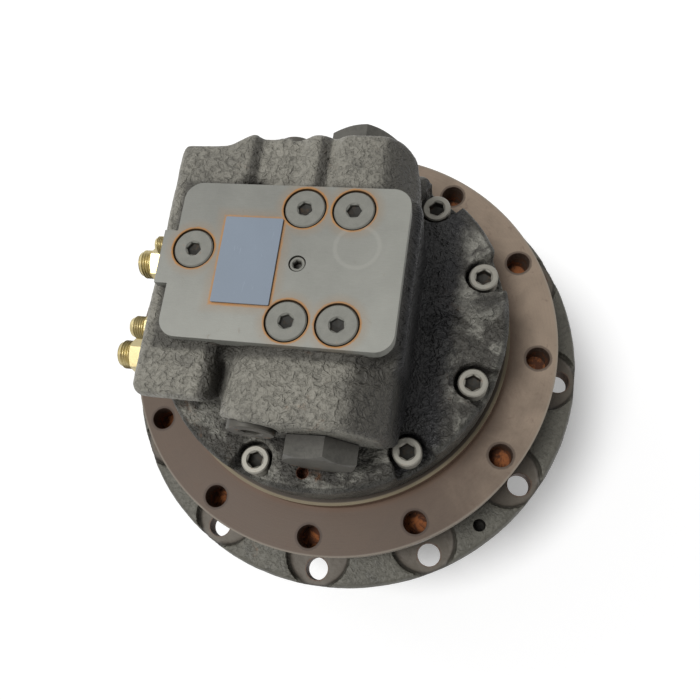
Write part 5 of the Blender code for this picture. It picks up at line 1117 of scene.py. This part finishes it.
class DRIVE_OT_sprocket_flange(bpy.types.Operator):
    """Cast sprocket flange of the hub with spot-faced bolt holes"""
    bl_idname = "drive.sprocket_flange"
    bl_label = "Sprocket flange"

    def execute(self, context):
        chosen = settings()
        top = HUB_HIGH.z
        seats = evenly(SPROCKET_HOLES, SPOTFACE_CIRCLE)
        holes = evenly(SPROCKET_HOLES, SPROCKET_CIRCLE)
        jacks = on_circle([math.radians(turn) for turn in JACK_TURNS], SPROCKET_CIRCLE)
        outline = [(FLANGE_SPLIT_RADIUS, PILOT_LOW - 0.003), (PILOT_RADIUS - 0.002, PILOT_LOW),
                   (PILOT_RADIUS, PILOT_LOW + 0.002), (PILOT_RADIUS, SPROCKET_SEAT),
                   (SPROCKET_RADIUS, SPROCKET_SEAT), (SPROCKET_RADIUS, SPOTFACE_LEVEL),
                   (SPROCKET_RADIUS - 2 * MM, RIM_LEVEL), (NECK_RADIUS, RIM_LEVEL), (NECK_RADIUS, top),
                   (SEAL_MOUTH, top), (FLANGE_SPLIT_RADIUS, top - 2 * MM)]
        piece = new_piece("sprocket_flange", spun(outline, 180), "hub_side")
        carve(piece, repeated(seats, lambda: rod(SPOTFACE_RADIUS, SPOTFACE_LEVEL, 0.140, 48)))
        bm = shape_of(piece)
        bpy.data.objects.remove(piece, do_unlink=True)
        skin = cast_skin(bm, 1.35 * MM, 3, chosen.cast_roughness * 0.8, 3.5 * MM)
        piece = new_piece("sprocket_flange", skin, "hub_side", 60.0)
        carve(piece, repeated(holes, lambda: rod(SPROCKET_HOLE_RADIUS, 0.090, 0.125, 40)))
        carve(piece, repeated(jacks, lambda: rod(JACK_HOLE_RADIUS, SPROCKET_SEAT + HOLE_FLOOR, 0.125, 24)))
        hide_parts("hub")
        dress(self.iron(chosen, seats, holes), piece)
        return {"FINISHED"}

    @staticmethod
    def iron(chosen, seats, holes):
        """Cast iron with milled spotfaces, painted shade in their corners, and rust round the bolt holes."""
        paint, gloss, height = casting_finish("hub_iron", chosen.hub_colour, 0.2, worn_edges=True)
        _, _, up = paint.axes()
        near = paint.nearest(seats)
        floor = up.under(SPOTFACE_LEVEL + 0.3 * MM, SPOTFACE_LEVEL + 1.2 * MM)
        milled = near.under(SPOTFACE_RADIUS - 1.2 * MM, SPOTFACE_RADIUS - 0.4 * MM) * floor
        paint.lay(milled * 0.55, MILLED_IRON)
        # Painted shade in the corner of each spotface
        corner_shade = near.apart(SPOTFACE_RADIUS - 0.6 * MM).under(0.6 * MM, 2.2 * MM) * floor
        paint.lay(corner_shade * 0.7, SPOTFACE_CORNER_SHADE)
        rust_ring = (paint.nearest(holes) + (height - 0.4) * MM).under(7.3 * MM, 8.6 * MM)
        paint.lay(rust_ring * 0.6, RUST_RING)
        return paint.finish(gloss, 0.12, height * (1 - milled * 0.8), 0.0005, 0.8)


class DRIVE_OT_hub_drum(bpy.types.Operator):
    """Drum of the hub with the ring gear's teeth inside"""
    bl_idname = "drive.hub_drum"
    bl_label = "Hub drum"

    def execute(self, context):
        low = HUB_LOW.z
        seat = COVER_RADIUS + 0.3 * MM
        shelf = SPROCKET_SEAT + 0.015
        outline = [(seat, low), (DRUM_RADIUS - 4 * MM, low), (DRUM_RADIUS - 1.2 * MM, low + 1.2 * MM),
                   (DRUM_RADIUS, low + 4 * MM), (DRUM_RADIUS, PILOT_SLOPE_LOW - 2 * MM),
                   (DRUM_RADIUS + MM, PILOT_SLOPE_LOW), (FLANGE_SPLIT_RADIUS + 5 * MM, PILOT_LOW + MM),
                   (FLANGE_SPLIT_RADIUS + 3 * MM, SPROCKET_SEAT), (SEAL_WALL, shelf), (BEARING_SEAT, shelf),
                   (BEARING_SEAT, 0.0972), (BEARING_LEDGE, 0.0971), (BEARING_LEDGE, 0.0921),
                   (BEARING_SEAT, 0.0920), (BEARING_SEAT, 0.0743), (RING_ROOT, RING_TOP),
                   (RING_ROOT, COVER_SEAT_TOP),
                   (seat, COVER_SEAT_TOP), (seat, 0.0095), (seat + 2 * MM, 0.0095), (seat + 2 * MM, 0.0065),
                   (seat, 0.0065)]
        depth = RING_ROOT - RING_TIP + 0.5 * MM
        tooth = cuboid((depth, TOOTH_WIDTH, RING_TOP - COVER_SEAT_TOP),
                       (RING_TIP + depth / 2, 0, (RING_TOP + COVER_SEAT_TOP) / 2))
        for corner in tooth.verts:
            if corner.co.x < RING_TIP + depth / 2:
                corner.co.y *= TOOTH_TIP_SHARE
        turned(tooth, math.pi / RING_TEETH)
        bmesh.ops.spin(tooth, geom=list(tooth.verts) + list(tooth.edges) + list(tooth.faces), cent=(0, 0, 0),
                       axis=(0, 0, 1), dvec=(0, 0, 0), angle=math.tau * (RING_TEETH - 1) / RING_TEETH,
                       steps=RING_TEETH - 1, use_merge=False, use_duplicate=True)
        piece = new_piece("hub_drum", joined(spun(outline, 144), tooth), "hub_side", 35.0)
        paint, gloss, height = casting_finish("drum_iron", settings().hub_colour, 0.2)
        dress(paint.finish(gloss, 0.25, height, 0.0004, 0.7), piece)
        return {"FINISHED"}


class DRIVE_OT_end_cover(bpy.types.Operator):
    """End cover with its locking ring and oil plugs"""
    bl_idname = "drive.end_cover"
    bl_label = "End cover"

    def execute(self, context):
        radius = COVER_RADIUS
        ledge = radius - 4 * MM
        outline = [(0.01 * MM, 0), (radius * 0.29, 0), (radius * 0.30, 0.2 * MM), (radius * 0.32, 2.2 * MM),
                   (radius * 0.33, 2.5 * MM), (radius * 0.59, 2.5 * MM), (radius * 0.60, 2.2 * MM),
                   (radius * 0.615, 0.2 * MM), (radius * 0.62, 0), (ledge - 0.5 * MM, 0), (ledge, 0.5 * MM),
                   (ledge, 0.0093), (radius, 0.0093), (radius, 0.012), (0.01 * MM, 0.012)]
        cover = new_piece("bottom_cover", spun(outline, 144), "hub_side", 30.0)
        places = []
        for number in (1, 2):
            low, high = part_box(f"cover_plug_{number}")
            places.append((low + high) / 2)
        for place in places:
            carve(cover, moved(rod(0.0093, -MM, 0.0085, 40), (place.x, place.y, 0)))
        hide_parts("end_cover")
        paint, gloss, height = casting_finish("cover_iron", COVER_IRON, 0.3)
        dress(paint.finish(gloss, 0.3, height, 0.0003, 0.6), cover)
        finish = screw_finish("cover_plug_steel", settings().steel_colour)
        for number, place in enumerate(places, 1):
            bm = turned(socket_head(-8.2 * MM, -0.3 * MM, **OIL_PLUG, turn=0.2), math.pi, "X")
            moved(bm, (place.x, place.y, 0))
            stand_in(f"cover_plug_{number}", f"oil_plug_{number}", bm, "hub_side", finish)
        low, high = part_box("lock_ring")
        inner = ledge + 0.3 * MM
        ring = spun([(high.x, low.z), (high.x, high.z), (inner, high.z), (inner, low.z)], 144)
        piece = bevelled(new_piece("snap_ring", ring, "hub_side"), 0.3 * MM)
        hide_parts("lock_ring")
        dress(finish, piece)
        return {"FINISHED"}


class DRIVE_OT_inner_works(bpy.types.Operator):
    """Gives the gears, bearings and motor pieces inside their finishes"""
    bl_idname = "drive.inner_works"
    bl_label = "Inner works"

    def execute(self, context):
        looks = {look: plain_metal(*finish) for look, finish in INNER_FINISHES.items()}
        for name, node in NODES.items():
            if not node.hide_render:
                look = next((look for start, look in INNER_KINDS if name.startswith(start)), "steel")
                dress(looks[look], node)
        return {"FINISHED"}


class DRIVE_OT_stage(bpy.types.Operator):
    """Pale floor, soft lights and the camera"""
    bl_idname = "drive.stage"
    bl_label = "Stage"

    def execute(self, context):
        scene = context.scene
        self.add_floor(scene)
        self.add_world(scene)
        key = bpy.data.lights.new("key", "SUN")
        key.energy = KEY_POWER
        key.angle = math.radians(KEY_SPREAD)
        self.add_lamp(scene, key, (0, 0, 0), KEY_TOWARDS, "Z")
        softbox = bpy.data.lights.new("softbox", "AREA")
        softbox.size = SOFTBOX_SIZE
        softbox.energy = SOFTBOX_POWER
        self.add_lamp(scene, softbox, SOFTBOX_PLACE, Vector(SOFTBOX_AIM) - Vector(SOFTBOX_PLACE), "-Z")
        self.add_camera(scene)
        scene.view_settings.view_transform = "Standard"
        return {"FINISHED"}

    @staticmethod
    def add_floor(scene):
        bm = bmesh.new()
        bmesh.ops.create_grid(bm, x_segments=1, y_segments=1, size=FLOOR_SIZE)
        mesh = bpy.data.meshes.new("floor")
        bm.to_mesh(mesh)
        bm.free()
        floor = bpy.data.objects.new("floor", mesh)
        scene.collection.objects.link(floor)
        paint = Paint("floor_paint", 0.9, 0.1)
        paint.body = paint.shaded(settings().floor_colour, 0.99 + paint.noise(0.8, 2.0, 0.5) * 0.02)
        paint.feed(paint.shader.inputs["Emission Color"], paint.seen_rays())
        paint.shader.inputs["Emission Strength"].default_value = FLOOR_GLOW
        mesh.materials.append(paint.finish())

    @staticmethod
    def add_world(scene):
        world = bpy.data.worlds.new("studio")
        scene.world = world
        nodes = Nodes(world)
        back = nodes.tree.nodes["Background"]
        back.inputs["Color"].default_value = (1, 1, 1, 1)
        levels = {"Value": nodes.seen_rays(), "To Min": WORLD_LEVEL, "To Max": 1.0}
        nodes.feed(back.inputs["Strength"], nodes.node("ShaderNodeMapRange", {}, levels))

    @staticmethod
    def add_lamp(scene, light, place, towards, track):
        lamp = bpy.data.objects.new(light.name, light)
        scene.collection.objects.link(lamp)
        lamp.location = place
        lamp.rotation_euler = Vector(towards).to_track_quat(track, "Y").to_euler()

    @staticmethod
    def add_camera(scene):
        camera = bpy.data.cameras.new("camera")
        camera.sensor_width = 36.0
        camera.lens = LENS
        camera.shift_x, camera.shift_y = LENS_SHIFT
        camera.clip_start = 0.01
        holder = bpy.data.objects.new("camera", camera)
        scene.collection.objects.link(holder)
        turn = Matrix(CAMERA_TURN).to_4x4()
        turn.translation = Vector(CAMERA_PLACE)
        holder.matrix_world = turn
        scene.camera = holder


STEPS = (
    DRIVE_OT_block_casting, DRIVE_OT_machined_face, DRIVE_OT_bare_plate, DRIVE_OT_cover_screws,
    DRIVE_OT_face_plugs, DRIVE_OT_spool_caps, DRIVE_OT_relief_plugs, DRIVE_OT_hose_fittings,
    DRIVE_OT_frame_flange, DRIVE_OT_sprocket_flange, DRIVE_OT_hub_drum, DRIVE_OT_end_cover,
    DRIVE_OT_inner_works, DRIVE_OT_stage,
)


class DRIVE_PT_panel(bpy.types.Panel):
    """Lists the settings, and the pieces in the order in which they are made"""
    bl_idname = "DRIVE_PT_panel"
    bl_label = "Final Drive"
    bl_space_type = "VIEW_3D"
    bl_region_type = "UI"
    bl_category = "Final Drive"

    def draw(self, context):
        for name in FinalDriveSettings.__annotations__:
            self.layout.prop(context.scene.final_drive, name)
        for step in STEPS:
            self.layout.operator(step.bl_idname)


CLASSES = (FinalDriveSettings, *STEPS, DRIVE_PT_panel)


def register():
    for cls in CLASSES:
        bpy.utils.register_class(cls)
    bpy.types.Scene.final_drive = bpy.props.PointerProperty(type=FinalDriveSettings)


def unregister():
    del bpy.types.Scene.final_drive
    for cls in reversed(CLASSES):
        bpy.utils.unregister_class(cls)


def main():
    register()
    for step in STEPS:
        group, name = step.bl_idname.split(".")
        getattr(getattr(bpy.ops, group), name)()


if __name__ == "__main__":
    main()
